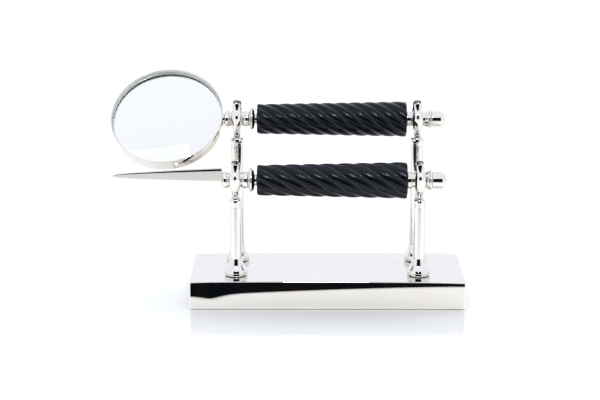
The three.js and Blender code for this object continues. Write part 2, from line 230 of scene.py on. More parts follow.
def rounded(corners: Sequence[Corner], closed: bool = False, steps: int = 6) -> Array:
    """An outline whose corners are rounded.

    Each corner is replaced by the quadratic curve that leaves the incoming side a rounding's length
    before the corner and joins the outgoing side as far after it, or half the side where it is short.

    Args:
        corners: Station, radius and rounding of each corner.
        closed: Whether the last corner joins the first.
        steps: Pieces in each rounding.

    Returns:
        Points of station and radius.
    """
    table = np.asarray(corners, float)
    point, size = table[:, :2], table[:, 2].copy()
    before, after = np.roll(point, 1, 0) - point, np.roll(point, -1, 0) - point
    if not closed:
        before[0], after[-1], size[0], size[-1] = 1, 1, 0, 0
    reach_in = np.minimum(size, np.linalg.norm(before, axis=1) / 2)[:, None]
    reach_out = np.minimum(size, np.linalg.norm(after, axis=1) / 2)[:, None]
    enter = point + reach_in * before / np.linalg.norm(before, axis=1, keepdims=True)
    leave = point + reach_out * after / np.linalg.norm(after, axis=1, keepdims=True)
    t = np.linspace(0, 1, steps + 1)[None, :, None]
    curve = (1 - t) ** 2 * enter[:, None] + 2 * t * (1 - t) * point[:, None] + t**2 * leave[:, None]
    path = curve.reshape(-1, 2)
    keep = np.ones(len(path), bool)
    keep[1:] = np.linalg.norm(np.diff(path, axis=0), axis=1) > 1e-4
    if closed and np.linalg.norm(path[0] - path[-1]) < 1e-4:
        keep[-1] = False
    return path[keep]


def turned(
    axis: Axis,
    outline: Array,
    segments: int = 72,
    shape: Optional[Callable[[Array, Array, Array], Array]] = None,
) -> Skin:
    """A surface of revolution: every point of the outline goes round the axis at its own radius.

    Args:
        axis: The line to turn about.
        outline: Stations and radii. It closes on itself, unless it starts and ends on the axis.
        segments: Steps round the axis.
        shape: Changes the radius from station, radius and angle, for threads, sockets and notches.

    Returns:
        The closed skin.
    """
    on_axis = outline[0, 1] < 1e-9 and outline[-1, 1] < 1e-9
    body = outline[1:-1] if on_axis else outline
    theta = np.linspace(0, 2 * np.pi, segments, endpoint=False)
    station, angle = np.meshgrid(body[:, 0], theta, indexing="ij")
    radius = np.repeat(body[:, 1:2], segments, axis=1)
    if shape is not None:
        radius = shape(station, radius, angle)
    points = axis.place(station, radius, angle)
    poles = None
    if on_axis:
        ends = outline[[0, -1]]
        placed = axis.place(ends[:, 0], ends[:, 1], np.zeros(2))
        poles = (placed[0], placed[1])
    return Skin(points, poles)


def bead(start: float, end: float, radius: float, root: float) -> list[Corner]:
    """Corners of a half-round bead between two stations, standing on a smaller root radius."""
    half = abs(end - start) / 2
    return [(start, root, 0.1), (start, radius, half), (end, radius, half), (end, root, 0.1)]


def bored(axis: Axis, outside: Sequence[Corner], bore: float = BORE, segments: int = 72) -> Skin:
    """A turned piece with a straight hole through it.

    Args:
        axis: The line to turn about.
        outside: Corners of the outside, from one end to the other.
        bore: Radius of the hole.
        segments: Steps round the axis.

    Returns:
        The closed skin.
    """
    first, last = outside[0][0], outside[-1][0]
    lip = 0.25
    return turned(axis, rounded([*outside, (last, bore, lip), (first, bore, lip)], closed=True), segments)


def smooth_step(value: Array, low: float, high: float) -> Array:
    """Zero below low and one above high, with a smooth rise between."""
    t = np.clip((value - low) / (high - low), 0, 1)
    return t * t * (3 - 2 * t)


def thread(pitch: float, depth: float, start: float, end: float) -> Callable[[Array, Array, Array], Array]:
    """A screw thread between two stations.

    The radius drops by a triangle wave of the station less the angle's share of a turn, over the
    pitch, so the wave climbs one pitch in each turn.

    Args:
        pitch: Rise in one turn.
        depth: Depth of the groove.
        start: Station where the thread starts.
        end: Station where it ends.

    Returns:
        A function for the shape argument of turned().
    """

    def shape(station: Array, radius: Array, theta: Array) -> Array:
        """Radius less the thread's groove."""
        wave = np.abs(((station / pitch - theta / (2 * np.pi)) % 1) * 2 - 1)
        window = smooth_step(station, start, start + pitch) * (1 - smooth_step(station, end - pitch, end))
        return radius - depth * wave * window * (radius > depth * 3)

    return shape


def low_corner(node: str) -> Array:
    """Lowest corner of a part's box, in millimetres."""
    return np.array(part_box(node)[0]) / MM


def high_corner(node: str) -> Array:
    """Highest corner of a part's box, in millimetres."""
    return np.array(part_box(node)[1]) / MM


def centre_of(node: str) -> Array:
    """Middle of a part's box, in millimetres."""
    return (low_corner(node) + high_corner(node)) / 2


def install(
    obj: bpy.types.Object, body: Body, slot: Slot, finish: bpy.types.Material, *nodes: str
) -> bpy.types.Object:
    """Dresses a piece, makes it ride on a body and stand for its parts, and reports it.

    Args:
        obj: The piece.
        body: Body that it moves with.
        slot: Material slot for its finish; not used.
        finish: Its first material.
        nodes: Parts that it stands for.

    Returns:
        The same piece.
    """
    obj.data.materials.append(finish)
    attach(obj, body.value)
    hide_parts(*nodes)
    log.info("%s: %d faces, rides on %s", obj.name, len(obj.data.polygons), body.value)
    return obj


# ------------------------------------------------------------------ node groups shared by the finishes


class GroupMaker:
    """Builds one shader node group with named inputs and outputs."""

    def __init__(self, name: str, inputs: dict[str, tuple[str, object]], outputs: dict[str, str]) -> None:
        """Makes the empty group.

        Args:
            name: Name of the group.
            inputs: Socket type and default value of each input.
            outputs: Socket type of each output.
        """
        self.tree = bpy.data.node_groups.new(name, "ShaderNodeTree")
        for key, (kind, value) in inputs.items():
            socket = self.tree.interface.new_socket(key, in_out="INPUT", socket_type=kind)
            if value is not None:
                socket.default_value = value
        for key, kind in outputs.items():
            self.tree.interface.new_socket(key, in_out="OUTPUT", socket_type=kind)
        self.start = self.tree.nodes.new("NodeGroupInput")
        self.end = self.tree.nodes.new("NodeGroupOutput")

    def node(self, kind: str, settings: Optional[dict] = None, **values: object) -> bpy.types.Node:
        """Adds a node, links or sets its inputs by name, and returns it."""
        return add_node(self.tree, kind, settings, **values)

    def finish(self, **outputs: bpy.types.NodeSocket) -> bpy.types.NodeTree:
        """Links the outputs by name and returns the group."""
        for key, socket in outputs.items():
            self.tree.links.new(socket, self.end.inputs[key])
        return self.tree


def set_inputs(tree: bpy.types.NodeTree, node: bpy.types.Node, **values: object) -> None:
    """Links or sets a node's inputs.

    Args:
        tree: The tree that the node is in.
        node: The node.
        values: Inputs by name, with underscores for spaces, or _0 and _1 for inputs by number. A
            socket is linked and anything else is set.
    """
    for key, value in values.items():
        numbered = key[0] == "_" and key[1:].isdigit()
        socket = node.inputs[int(key[1:]) if numbered else key.replace("_", " ")]
        if isinstance(value, bpy.types.NodeSocket):
            tree.links.new(value, socket)
        else:
            socket.default_value = value


def add_node(
    tree: bpy.types.NodeTree, kind: str, settings: Optional[dict] = None, **values: object
) -> bpy.types.Node:
    """Adds a node to a tree.

    Args:
        tree: The tree.
        kind: Node type.
        settings: Properties of the node itself.
        values: Inputs, as set_inputs() takes them.

    Returns:
        The node.
    """
    node = tree.nodes.new(kind)
    for key, value in (settings or {}).items():
        setattr(node, key, value)
    set_inputs(tree, node, **values)
    return node


def make_polish_group() -> bpy.types.NodeTree:
    """Buffed metal: fine hairlines along the stretched coordinates, slow waves, and worn patches.

    Returns:
        A group that puts out a height, a wear mask and a hairline mask.
    """
    group = GroupMaker(
        "BuffedMetal",
        {
            "Place": ("NodeSocketVector", None),
            "Lines": ("NodeSocketVector", None),
            "Wave Scale": ("NodeSocketFloat", 90.0),
            "Wave Height": ("NodeSocketFloat", 1.0),
            "Line Height": ("NodeSocketFloat", 0.05),
            "Patch Scale": ("NodeSocketFloat", 25.0),
        },
        {"Height": "NodeSocketFloat", "Wear": "NodeSocketFloat", "Hairlines": "NodeSocketFloat"},
    )
    sockets = group.start.outputs
    place = sockets["Place"]
    waves = group.node("ShaderNodeTexNoise", Vector=place, Scale=sockets["Wave Scale"], Detail=1.5)
    lines = group.node("ShaderNodeTexNoise", Vector=sockets["Lines"], Scale=1.0, Detail=4.0, Roughness=0.65)
    patches = group.node(
        "ShaderNodeTexNoise", Vector=place, Scale=sockets["Patch Scale"], Detail=5.0, Roughness=0.6
    )
    wear = group.node("ShaderNodeMapRange", _0=patches.outputs["Fac"], _1=0.45, _2=0.75)
    hairlines = group.node("ShaderNodeMapRange", _0=lines.outputs["Fac"], _1=0.52, _2=0.8)
    wave_part = group.node(
        "ShaderNodeMath", {"operation": "MULTIPLY"}, _0=waves.outputs["Fac"], _1=sockets["Wave Height"]
    )
    total = group.node(
        "ShaderNodeMath",
        {"operation": "MULTIPLY_ADD"},
        _0=lines.outputs["Fac"],
        _1=sockets["Line Height"],
        _2=wave_part.outputs[0],
    )
    return group.finish(Height=total.outputs[0], Wear=wear.outputs[0], Hairlines=hairlines.outputs[0])


def make_tint_group() -> bpy.types.NodeTree:
    """Two tones that drift into each other over the surface.

    Returns:
        A group that puts out the colour and the drift's own value.
    """
    group = GroupMaker(
        "DriftingTint",
        {
            "Place": ("NodeSocketVector", None),
            "Scale": ("NodeSocketFloat", 20.0),
            "Tone A": ("NodeSocketColor", (1, 1, 1, 1)),
            "Tone B": ("NodeSocketColor", (0.5, 0.5, 0.5, 1)),
            "Low": ("NodeSocketFloat", 0.35),
            "High": ("NodeSocketFloat", 0.65),
        },
        {"Color": "NodeSocketColor", "Value": "NodeSocketFloat"},
    )
    sockets = group.start.outputs
    noise = group.node(
        "ShaderNodeTexNoise", Vector=sockets["Place"], Scale=sockets["Scale"], Detail=6.0, Roughness=0.6
    )
    drift = group.node("ShaderNodeMapRange", _0=noise.outputs["Fac"], _1=sockets["Low"], _2=sockets["High"])
    mixed = group.node(
        "ShaderNodeMix",
        {"data_type": "RGBA"},
        _0=drift.outputs[0],
        _6=sockets["Tone A"],
        _7=sockets["Tone B"],
    )
    return group.finish(Color=mixed.outputs[2], Value=drift.outputs[0])


def make_fibre_group() -> bpy.types.NodeTree:
    """Tangled fibres, as in felt and pressed board.

    Returns:
        A group that puts out a height and a fibre mask.
    """
    group = GroupMaker(
        "TangledFibre",
        {
            "Place": ("NodeSocketVector", None),
            "Fibre Scale": ("NodeSocketFloat", 900.0),
            "Clump Scale": ("NodeSocketFloat", 120.0),
        },
        {"Height": "NodeSocketFloat", "Mask": "NodeSocketFloat"},
    )
    sockets = group.start.outputs
    clumps = group.node(
        "ShaderNodeTexNoise", Vector=sockets["Place"], Scale=sockets["Clump Scale"], Detail=4.0
    )
    fibres = group.node(
        "ShaderNodeTexNoise",
        Vector=sockets["Place"],
        Scale=sockets["Fibre Scale"],
        Detail=8.0,
        Roughness=0.75,
        Distortion=1.6,
    )
    height = group.node(
        "ShaderNodeMath",
        {"operation": "MULTIPLY_ADD"},
        _0=clumps.outputs["Fac"],
        _1=0.6,
        _2=fibres.outputs["Fac"],
    )
    mask = group.node("ShaderNodeMapRange", _0=fibres.outputs["Fac"], _1=0.4, _2=0.68)
    return group.finish(Height=height.outputs[0], Mask=mask.outputs[0])


POLISH = make_polish_group()
TINT = make_tint_group()
FIBRE = make_fibre_group()


# ------------------------------------------------------------------ finishes


def blank(name: str) -> tuple[bpy.types.Material, bpy.types.NodeTree, bpy.types.Node]:
    """A material with a Principled shader and nothing else.

    Args:
        name: Name of the finish.

    Returns:
        The material, its tree and its shader.
    """
    material = bpy.data.materials.new(name)
    material.use_nodes = True
    tree = material.node_tree
    tree.nodes.clear()
    output = tree.nodes.new("ShaderNodeOutputMaterial")
    shader = tree.nodes.new("ShaderNodeBsdfPrincipled")
    tree.links.new(shader.outputs["BSDF"], output.inputs["Surface"])
    return material, tree, shader


def add_group(tree: bpy.types.NodeTree, group: bpy.types.NodeTree, **values: object) -> bpy.types.Node:
    """Places a shared group in a material, with its inputs linked or set by name."""
    return add_node(tree, "ShaderNodeGroup", {"node_tree": group}, **values)


def object_place(tree: bpy.types.NodeTree) -> bpy.types.NodeSocket:
    """Object coordinates, in metres."""
    return tree.nodes.new("ShaderNodeTexCoord").outputs["Object"]


@dataclass(frozen=True)
class NickelFinish:
    """Polished nickel plate, buffed along one direction.

    Attributes:
        name: Name of the material.
        lines: Stretch of the hairlines along X, Y and Z; the larger, the closer they lie.
        bright: Colour where the plate is fresh.
        worn: Colour where it has dulled.
        wave_height: Share of the slow waves that polishing leaves in the relief.
        wave_scale: How close those waves lie.
        bump_distance: Depth of the whole relief, in metres.
        roughness: Roughness of fresh and of dulled plate.
    """

    name: str
    lines: tuple[float, float, float]
    bright: tuple[float, float, float, float] = (0.78, 0.75, 0.705, 1)
    worn: tuple[float, float, float, float] = (0.755, 0.715, 0.655, 1)
    wave_height: float = 1.0
    wave_scale: float = 70.0
    bump_distance: float = 0.000012
    roughness: tuple[float, float] = (0.02, 0.07)

    def make(self) -> bpy.types.Material:
        """Builds the material."""
        material, tree, shader = blank(self.name)
        place = object_place(tree)
        lines = add_node(tree, "ShaderNodeMapping", Vector=place, Scale=self.lines)
        marks = add_group(
            tree,
            POLISH,
            Place=place,
            Lines=lines.outputs[0],
            Wave_Scale=self.wave_scale,
            Wave_Height=self.wave_height,
        )
        tint = add_group(
            tree, TINT, Place=place, Scale=34.0, Tone_A=self.bright, Tone_B=self.worn, Low=0.5, High=0.8
        )
        fresh, dulled = self.roughness
        rough = add_node(tree, "ShaderNodeMapRange", _0=marks.outputs["Hairlines"], _3=fresh, _4=dulled)
        bump = add_node(
            tree, "ShaderNodeBump", Height=marks.outputs["Height"], Strength=1.0, Distance=self.bump_distance
        )
        surface = {"Base_Color": tint.outputs["Color"], "Normal": bump.outputs[0]}
        set_inputs(tree, shader, **surface, Roughness=rough.outputs[0], Metallic=1.0)
        return material


@dataclass(frozen=True)
class HornFinish:
    """Black carved and waxed horn: fine streaks along the strands, and paler broken lines painted along the
    groove bottoms as highlights.

    Attributes:
        name: Name of the material.
        dark: Colour of the horn.
        light: Colour of its paler streaks.
        groove_highlight: Paler colour painted along the groove bottoms as a highlight.
    """

    name: str
    dark: tuple[float, float, float, float] = (0.0006, 0.001, 0.002, 1)
    light: tuple[float, float, float, float] = (0.006, 0.010, 0.017, 1)
    # paler colour painted along the groove bottoms as a highlight
    groove_highlight: tuple[float, float, float, float] = (0.12, 0.135, 0.155, 1)

    def make(self) -> bpy.types.Material:
        """Builds the material."""
        material, tree, shader = blank(self.name)
        strand = add_node(tree, "ShaderNodeAttribute", {"attribute_name": "strand"}).outputs["Vector"]
        groove = add_node(tree, "ShaderNodeAttribute", {"attribute_name": "groove"}).outputs["Fac"]
        streaked = add_node(tree, "ShaderNodeMapping", Vector=strand, Scale=(2.2, 2.2, 0.12))
        streaks = add_group(
            tree,
            TINT,
            Place=streaked.outputs[0],
            Scale=1.0,
            Tone_A=self.dark,
            Tone_B=self.light,
            Low=0.4,
            High=0.72,
        )
        grain = add_node(
            tree, "ShaderNodeTexNoise", Vector=streaked.outputs[0], Scale=3.0, Detail=6.0, Roughness=0.7
        )
        # Painted highlight: paler broken lines along the groove bottoms, mixed into the horn's base colour.
        line = add_node(tree, "ShaderNodeMapRange", _0=groove, _1=0.86, _2=0.97)
        broken = add_node(
            tree, "ShaderNodeMath", {"operation": "MULTIPLY"}, _0=line.outputs[0], _1=grain.outputs["Fac"]
        )
        highlighted_tone = add_node(
            tree,
            "ShaderNodeMix",
            {"data_type": "RGBA"},
            _0=broken.outputs[0],
            _6=streaks.outputs["Color"],
            _7=self.groove_highlight,
        )
        rough = add_node(
            tree, "ShaderNodeMapRange", _0=grain.outputs["Fac"], _1=0.3, _2=0.75, _3=0.09, _4=0.24
        )
        bump = add_node(tree, "ShaderNodeBump", Height=grain.outputs["Fac"], Strength=0.6, Distance=0.00012)
        surface = {"Base_Color": highlighted_tone.outputs[2], "Roughness": rough.outputs[0], "Normal": bump.outputs[0]}
        set_inputs(tree, shader, **surface, Specular_IOR_Level=0.2)
        return material


@dataclass(frozen=True)
class LensFinish:
    """Clear crown glass with a trace of green, wiped clean."""

    name: str = "lens_crown_glass"

    def make(self) -> bpy.types.Material:
        """Builds the material."""
        material, tree, shader = blank(self.name)
        place = object_place(tree)
        clear, green = (0.823, 0.818, 0.806, 1), (0.813, 0.81, 0.8, 1)
        tint = add_group(tree, TINT, Place=place, Scale=14.0, Tone_A=clear, Tone_B=green)
        smear = add_node(tree, "ShaderNodeTexNoise", Vector=place, Scale=45.0, Detail=3.0)
        rough = add_node(
            tree, "ShaderNodeMapRange", _0=smear.outputs["Fac"], _1=0.45, _2=0.8, _3=0.0, _4=0.012
        )
        surface = {"Base_Color": tint.outputs["Color"], "Roughness": rough.outputs[0]}
        set_inputs(tree, shader, **surface, IOR=1.52, Transmission_Weight=1.0)
        return material


@dataclass(frozen=True)
class GroundEdgeFinish:
    """The lens's ground edge: the glass's own green, darkened all round as painted shade."""

    name: str = "lens_ground_edge"

    def make(self) -> bpy.types.Material:
        """Builds the material."""
        material, tree, shader = blank(self.name)
        place = object_place(tree)
        # Painted shade: both tones are dark, so the edge shows as a dark line round the lens under any
        # light.
        tint = add_group(
            tree, TINT, Place=place, Scale=60.0, Tone_A=(0.06, 0.11, 0.1, 1), Tone_B=(0.11, 0.17, 0.155, 1)
        )
        grit = add_node(tree, "ShaderNodeTexNoise", Vector=place, Scale=2600.0, Detail=3.0)
        bump = add_node(tree, "ShaderNodeBump", Height=grit.outputs["Fac"], Strength=0.5, Distance=0.00005)
        set_inputs(
            tree, shader, Base_Color=tint.outputs["Color"], Normal=bump.outputs[0], Roughness=0.55
        )
        return material


@dataclass(frozen=True)
class FibreFinish:
    """Felt or pressed board: tangled fibres in two tones.

    Attributes:
        name: Name of the material.
        dark: Colour between the fibres.
        light: Colour of the fibres.
        fibre_scale: How close the fibres lie.
        depth: Depth of the nap.
        sheen: Sheen weight of the nap.
    """

    name: str
    dark: tuple[float, float, float, float]
    light: tuple[float, float, float, float]
    fibre_scale: float
    depth: float
    sheen: float

    def make(self) -> bpy.types.Material:
        """Builds the material."""
        material, tree, shader = blank(self.name)
        place = object_place(tree)
        scale = self.fibre_scale
        fibre = add_group(tree, FIBRE, Place=place, Fibre_Scale=scale, Clump_Scale=scale / 7)
        mask, height = fibre.outputs["Mask"], fibre.outputs["Height"]
        tone = add_node(
            tree, "ShaderNodeMix", {"data_type": "RGBA"}, _0=mask, _6=self.dark, _7=self.light
        )
        bump = add_node(tree, "ShaderNodeBump", Height=height, Strength=0.8, Distance=self.depth)
        surface = {"Base_Color": tone.outputs[2], "Normal": bump.outputs[0]}
        set_inputs(tree, shader, **surface, Roughness=0.92, Sheen_Weight=self.sheen)
        return material


@dataclass(frozen=True)
class SteelFinish:
    """Zinc-plated steel, grey with paler spangles and a turned grain.

    Attributes:
        name: Name of the material.
        lines: Stretch of the grain along X, Y and Z; the larger, the closer it lies.
    """

    name: str
    lines: tuple[float, float, float]

    def make(self) -> bpy.types.Material:
        """Builds the material."""
        material, tree, shader = blank(self.name)
        place = object_place(tree)
        lines = add_node(tree, "ShaderNodeMapping", Vector=place, Scale=self.lines)
        marks = add_group(
            tree, POLISH, Place=place, Lines=lines.outputs[0], Line_Height=0.4, Patch_Scale=240.0
        )
        tint = add_group(
            tree, TINT, Place=place, Scale=320.0, Tone_A=(0.42, 0.43, 0.45, 1), Tone_B=(0.6, 0.6, 0.6, 1)
        )
        rough = add_node(tree, "ShaderNodeMapRange", _0=marks.outputs["Wear"], _3=0.28, _4=0.5)
        bump = add_node(
            tree, "ShaderNodeBump", Height=marks.outputs["Height"], Strength=0.7, Distance=0.00003
        )
        surface = {"Base_Color": tint.outputs["Color"], "Normal": bump.outputs[0]}
        set_inputs(tree, shader, **surface, Roughness=rough.outputs[0], Metallic=1.0)
        return material


@dataclass(frozen=True)
class Finishes:
    """Every finish of the object, made once."""

    cast: bpy.types.Material
    upright: bpy.types.Material
    spun: bpy.types.Material
    ring: bpy.types.Material
    ring_wall_painted_light: bpy.types.Material
    blade: bpy.types.Material
    horn: bpy.types.Material
    lens: bpy.types.Material
    lens_edge: bpy.types.Material
    felt: bpy.types.Material
    board: bpy.types.Material
    steel_upright: bpy.types.Material
    steel_spun: bpy.types.Material


def make_finishes() -> Finishes:
    """Makes the finishes."""
    return Finishes(
        cast=NickelFinish(
            "nickel_cast", lines=(60, 900, 2200), wave_scale=32.0, bump_distance=0.00002
        ).make(),
        upright=NickelFinish("nickel_upright", lines=(120, 120, 3600)).make(),
        spun=NickelFinish("nickel_spun", lines=(3600, 120, 120)).make(),
        ring=NickelFinish("nickel_ring", lines=(200, 1800, 1800), roughness=(0.06, 0.14)).make(),
        # Painted light: a copy of the ring's nickel with a much lighter base colour, and more roughness, for
        # the band's inner wall.
        ring_wall_painted_light=NickelFinish(
            "nickel_ring_wall",
            lines=(200, 1800, 1800),
            bright=(0.96, 0.98, 0.955, 1),
            worn=(0.93, 0.95, 0.92, 1),
            roughness=(0.5, 0.65),
        ).make(),
        blade=NickelFinish("nickel_blade", lines=(90, 2600, 2600), wave_scale=45.0).make(),
        horn=HornFinish("horn_black").make(),
        lens=LensFinish().make(),
        lens_edge=GroundEdgeFinish().make(),
        felt=FibreFinish(
            "felt_charcoal", (0.006, 0.006, 0.007, 1), (0.035, 0.036, 0.04, 1), 1400.0, 0.0004, 0.35
        ).make(),
        board=FibreFinish(
            "board_brown", (0.09, 0.05, 0.028, 1), (0.21, 0.135, 0.08, 1), 800.0, 0.0002, 0.0
        ).make(),
        steel_upright=SteelFinish("steel_upright", (200, 200, 2600)).make(),
        steel_spun=SteelFinish("steel_spun", (2600, 200, 200)).make(),
    )


# ------------------------------------------------------------------ base


@dataclass
class Base:
    """Hollow casting with a hand-polished edge, closed below by a board and a felt pad.

    Attributes:
        finishes: The object's finishes.
        corner: Radius of the upright corners.
        wall: Thickness of the walls and the deck.
        top_round: Radius of the top edge.
        crown: How much lower the top face is at its ends than in the middle.
        skirt: How far the walls reach below the board.
        lean: How far the polished band under the top edge leans back.
        band_low: Height where the band starts at the right end.
        band_drop: How much lower it starts at the left end.
        boss_radius: Outside of the bosses under the deck.
    """

    finishes: Finishes
    corner: float = 1.3
    wall: float = 5.0
    top_round: float = 0.9
    crown: float = 1.0
    skirt: float = 0.7
    lean: float = math.radians(8.6)
    band_low: float = 20.5
    band_drop: float = 9.0
    boss_radius: float = 8.0

    def band_start(self, x: Array) -> Array:
        """Height where the polished band starts.

        It falls from the right end to the left by the power 1.6 of the share of the length, with a
        shallow bell-shaped dip near the left end.
        """
        half = high_corner("base_casting")[0]
        share = np.clip((half - x) / (2 * half), 0, 1)
        dip_place, dip_width, dip = -0.84 * half, 0.11 * half, 3.6
        bell = np.exp(-(((x - dip_place) / dip_width) ** 2))
        return self.band_low - self.band_drop * share**1.6 - dip * bell

    def plan(self, half_x: float, half_y: float, radius: float, per_side: int = 64) -> tuple[Array, Array]:
        """Columns round a rectangle with round corners.

        Args:
            half_x: Half the length.
            half_y: Half the depth.
            radius: Corner radius.
            per_side: Columns along each side.

        Returns:
            The inner rectangle's point and the outward direction of each column. A point at an inset
            is the first plus the second times the corner radius less the inset.
        """
        x, y = half_x - radius, half_y - radius
        steps = np.linspace(-1, 1, per_side)
        turn = np.linspace(0, np.pi / 2, 9)[1:-1]
        cores, ways = [], []
        sides = [((steps, -np.ones_like(steps)), -90), ((np.ones_like(steps), steps), 0),
                 ((-steps, np.ones_like(steps)), 90), ((-np.ones_like(steps), -steps), 180)]
        for (sx, sy), degrees in sides:
            angle = math.radians(degrees)
            cores.append(np.stack([sx * x, sy * y], -1))
            ways.append(np.tile([math.cos(angle), math.sin(angle)], (per_side, 1)))
            cores.append(np.tile([sx[-1] * x, sy[-1] * y], (len(turn), 1)))
            ways.append(np.stack([np.cos(angle + turn), np.sin(angle + turn)], -1))
        return np.vstack(cores), np.vstack(ways)

    def casting_skin(self) -> Skin:
        """The casting: deck underside, pocket walls, rim, outer walls, rounded top edge and top face.

        Up the outer wall the front and the back draw in by the running sum of the wall's slope, which
        rises from nothing to the lean's tangent over a few millimetres at the band's start. The top
        face falls towards the ends by the fourth power of the share of the half length.
        """
        low, high = low_corner("base_casting"), high_corner("base_casting")
        core, way = self.plan(high[0], high[1], self.corner)
        bottom = low[2] - self.skirt
        fall = self.crown * (core[:, 0] / high[0]) ** 4
        lean = self.lean * way[:, 1] ** 2
        edge_start = high[2] - fall - self.top_round * (1 - np.sin(lean))
        foot = np.repeat((bottom + np.array([0.0, 0.08, 0.2, 0.4]))[:, None], len(core), 1)
        climb = np.linspace(0, 1, 64)[:, None]
        height = np.concatenate([foot, 3.2 * (1 - climb) + edge_start * climb])
        slope = math.tan(self.lean) * smooth_step(height - self.band_start(core[:, 0])[None], -1.6, 1.4)
        rise = np.diff(height, axis=0)
        back = np.vstack([np.zeros(len(core)), np.cumsum(rise * (slope[1:] + slope[:-1]) / 2, axis=0)])
        inset = 0.4 * (1 - np.sqrt(1 - np.clip(1 - (height - bottom) / 0.4, 0, 1) ** 2))
        phi = np.linspace(lean, np.full(len(core), np.pi / 2), 9)[1:]
        round_inset = self.top_round * (np.cos(lean) - np.cos(phi))
        round_height = edge_start + self.top_round * (np.sin(phi) - np.sin(lean))
        all_inset, all_height = np.vstack([inset, round_inset]), np.vstack([height, round_height])
        outer = self.rows(core, way, self.corner, all_inset, all_height)
        outer[..., 1] *= 1 - np.vstack([back, np.repeat(back[-1:], 8, 0)]) / high[1]
        shrink = np.linspace(0.99, 0.02, 60)[:, None, None]
        top_plan = outer[-1:, :, :2] * shrink
        top_height = high[2] - self.crown * (top_plan[..., :1] / high[0]) ** 4
        top_rows = np.concatenate([top_plan, top_height], -1)
        ceiling = high[2] - self.wall
        inner_core, inner_way = self.plan(high[0] - self.wall, high[1] - self.wall, 2.0)
        inner = np.array([[1.5, ceiling], [0.45, ceiling - 0.45], [0.0, ceiling - 1.5], [0.0, bottom]])
        wide = len(core)
        wall_rows = self.rows(
            inner_core, inner_way, 2.0, np.repeat(inner[:, :1], wide, 1), np.repeat(inner[:, 1:], wide, 1)
        )
        under = wall_rows[:1, :, :2] * np.array([0.05, 0.3, 0.6, 0.9, 0.995])[:, None, None]
        deck = np.concatenate([under, np.full((5, wide, 1), ceiling)], -1)
        points = np.concatenate([deck, wall_rows, outer, top_rows])
        return Skin(points, (np.array([0, 0, ceiling]), np.array([0, 0, high[2]])))

    def rows(self, core: Array, way: Array, radius: float, inset: Array, height: Array) -> Array:
        """Rows of points at given insets and heights round a plan of a corner radius."""
        plan = core[None] + way[None] * (radius - inset)[..., None]
        return np.concatenate([plan, height[..., None]], -1)

    def build(self) -> None:
        """Makes the casting, the board and the felt pad."""
        top = high_corner("base_casting")[2]
        casting = build("base_casting_shell", [self.casting_skin()])
        self.drill(casting, top)
        bosses = []
        for label in POST_LABELS:
            node = f"post_washer_{label}"
            x, y, _ = centre_of(node)
            floor = high_corner(node)[2] + 0.3
            ceiling = top - self.wall
            outside = [(floor, self.boss_radius - 0.5, 0.4), (floor + 0.6, self.boss_radius, 0.4),
                       (ceiling - 0.1, self.boss_radius, 0.1)]
            bosses.append(bored(axis_z((x, y, 0)), outside, SCREW_HOLE, 40))
        boss_piece = build("base_casting_bosses", bosses)
        install(casting, Body.STAND, Slot.NICKEL, self.finishes.cast, "base_casting")
        install(boss_piece, Body.STAND, Slot.NICKEL, self.finishes.upright, "base_casting")
        self.slab("base_board_panel", "base_board", 2.0, 0.4, Slot.BOARD, self.finishes.board)
        self.slab("base_felt_pad", "base_felt", 2.2, 0.5, Slot.FELT, self.finishes.felt)

    def drill(self, casting: bpy.types.Object, top: float) -> None:
        """Cuts the four screw holes through the deck."""
        cutters = []
        start, end = top - self.wall - 2, top + 2
        outline = np.array([[start, 0], [start, SCREW_HOLE], [end, SCREW_HOLE], [end, 0]])
        for label in POST_LABELS:
            x, y, _ = centre_of(f"foot_{label}")
            cutters.append(turned(axis_z((x, y, 0)), outline, 40))
        tool = build("screw_hole_cutter", cutters)
        modifier = casting.modifiers.new("screw_holes", "BOOLEAN")
        modifier.operation = "DIFFERENCE"
        modifier.solver = "EXACT"
        modifier.object = tool
        cut = bpy.data.meshes.new_from_object(casting.evaluated_get(bpy.context.evaluated_depsgraph_get()))
        casting.modifiers.clear()
        casting.data = cut
        cut.name = casting.name
        bpy.data.objects.remove(tool)

    def slab(
        self, name: str, node: str, radius: float, round_edge: float, slot: Slot, finish: bpy.types.Material
    ) -> None:
        """A flat plate with round corners and softened edges, in the place of a part."""
        low, high = low_corner(node), high_corner(node)
        core, way = self.plan(high[0], high[1], radius, 40)
        quarter = np.linspace(0, np.pi / 2, 5)
        inset = round_edge * (1 - np.concatenate([np.sin(quarter), np.cos(quarter)]))
        height = np.concatenate([
            low[2] + round_edge * (1 - np.cos(quarter)), high[2] - round_edge * (1 - np.sin(quarter)),
        ])
        plan = core[None] + way[None] * (radius - inset)[:, None, None]
        wall = np.concatenate([plan, np.repeat(height[:, None], len(core), 1)[..., None]], -1)
        shrink = np.array([0.05, 0.5, 0.97])[:, None, None]
        under = np.concatenate([wall[:1, :, :2] * shrink, np.full((3, len(core), 1), low[2])], -1)
        over = np.concatenate([wall[-1:, :, :2] * shrink[::-1], np.full((3, len(core), 1), high[2])], -1)
        points = np.concatenate([under, wall, over])
        middle = (low + high) / 2
        poles = (np.array([middle[0], middle[1], low[2]]), np.array([middle[0], middle[1], high[2]]))
        install(build(name, [Skin(points, poles)]), Body.STAND, slot, finish, node)


# ------------------------------------------------------------------ posts


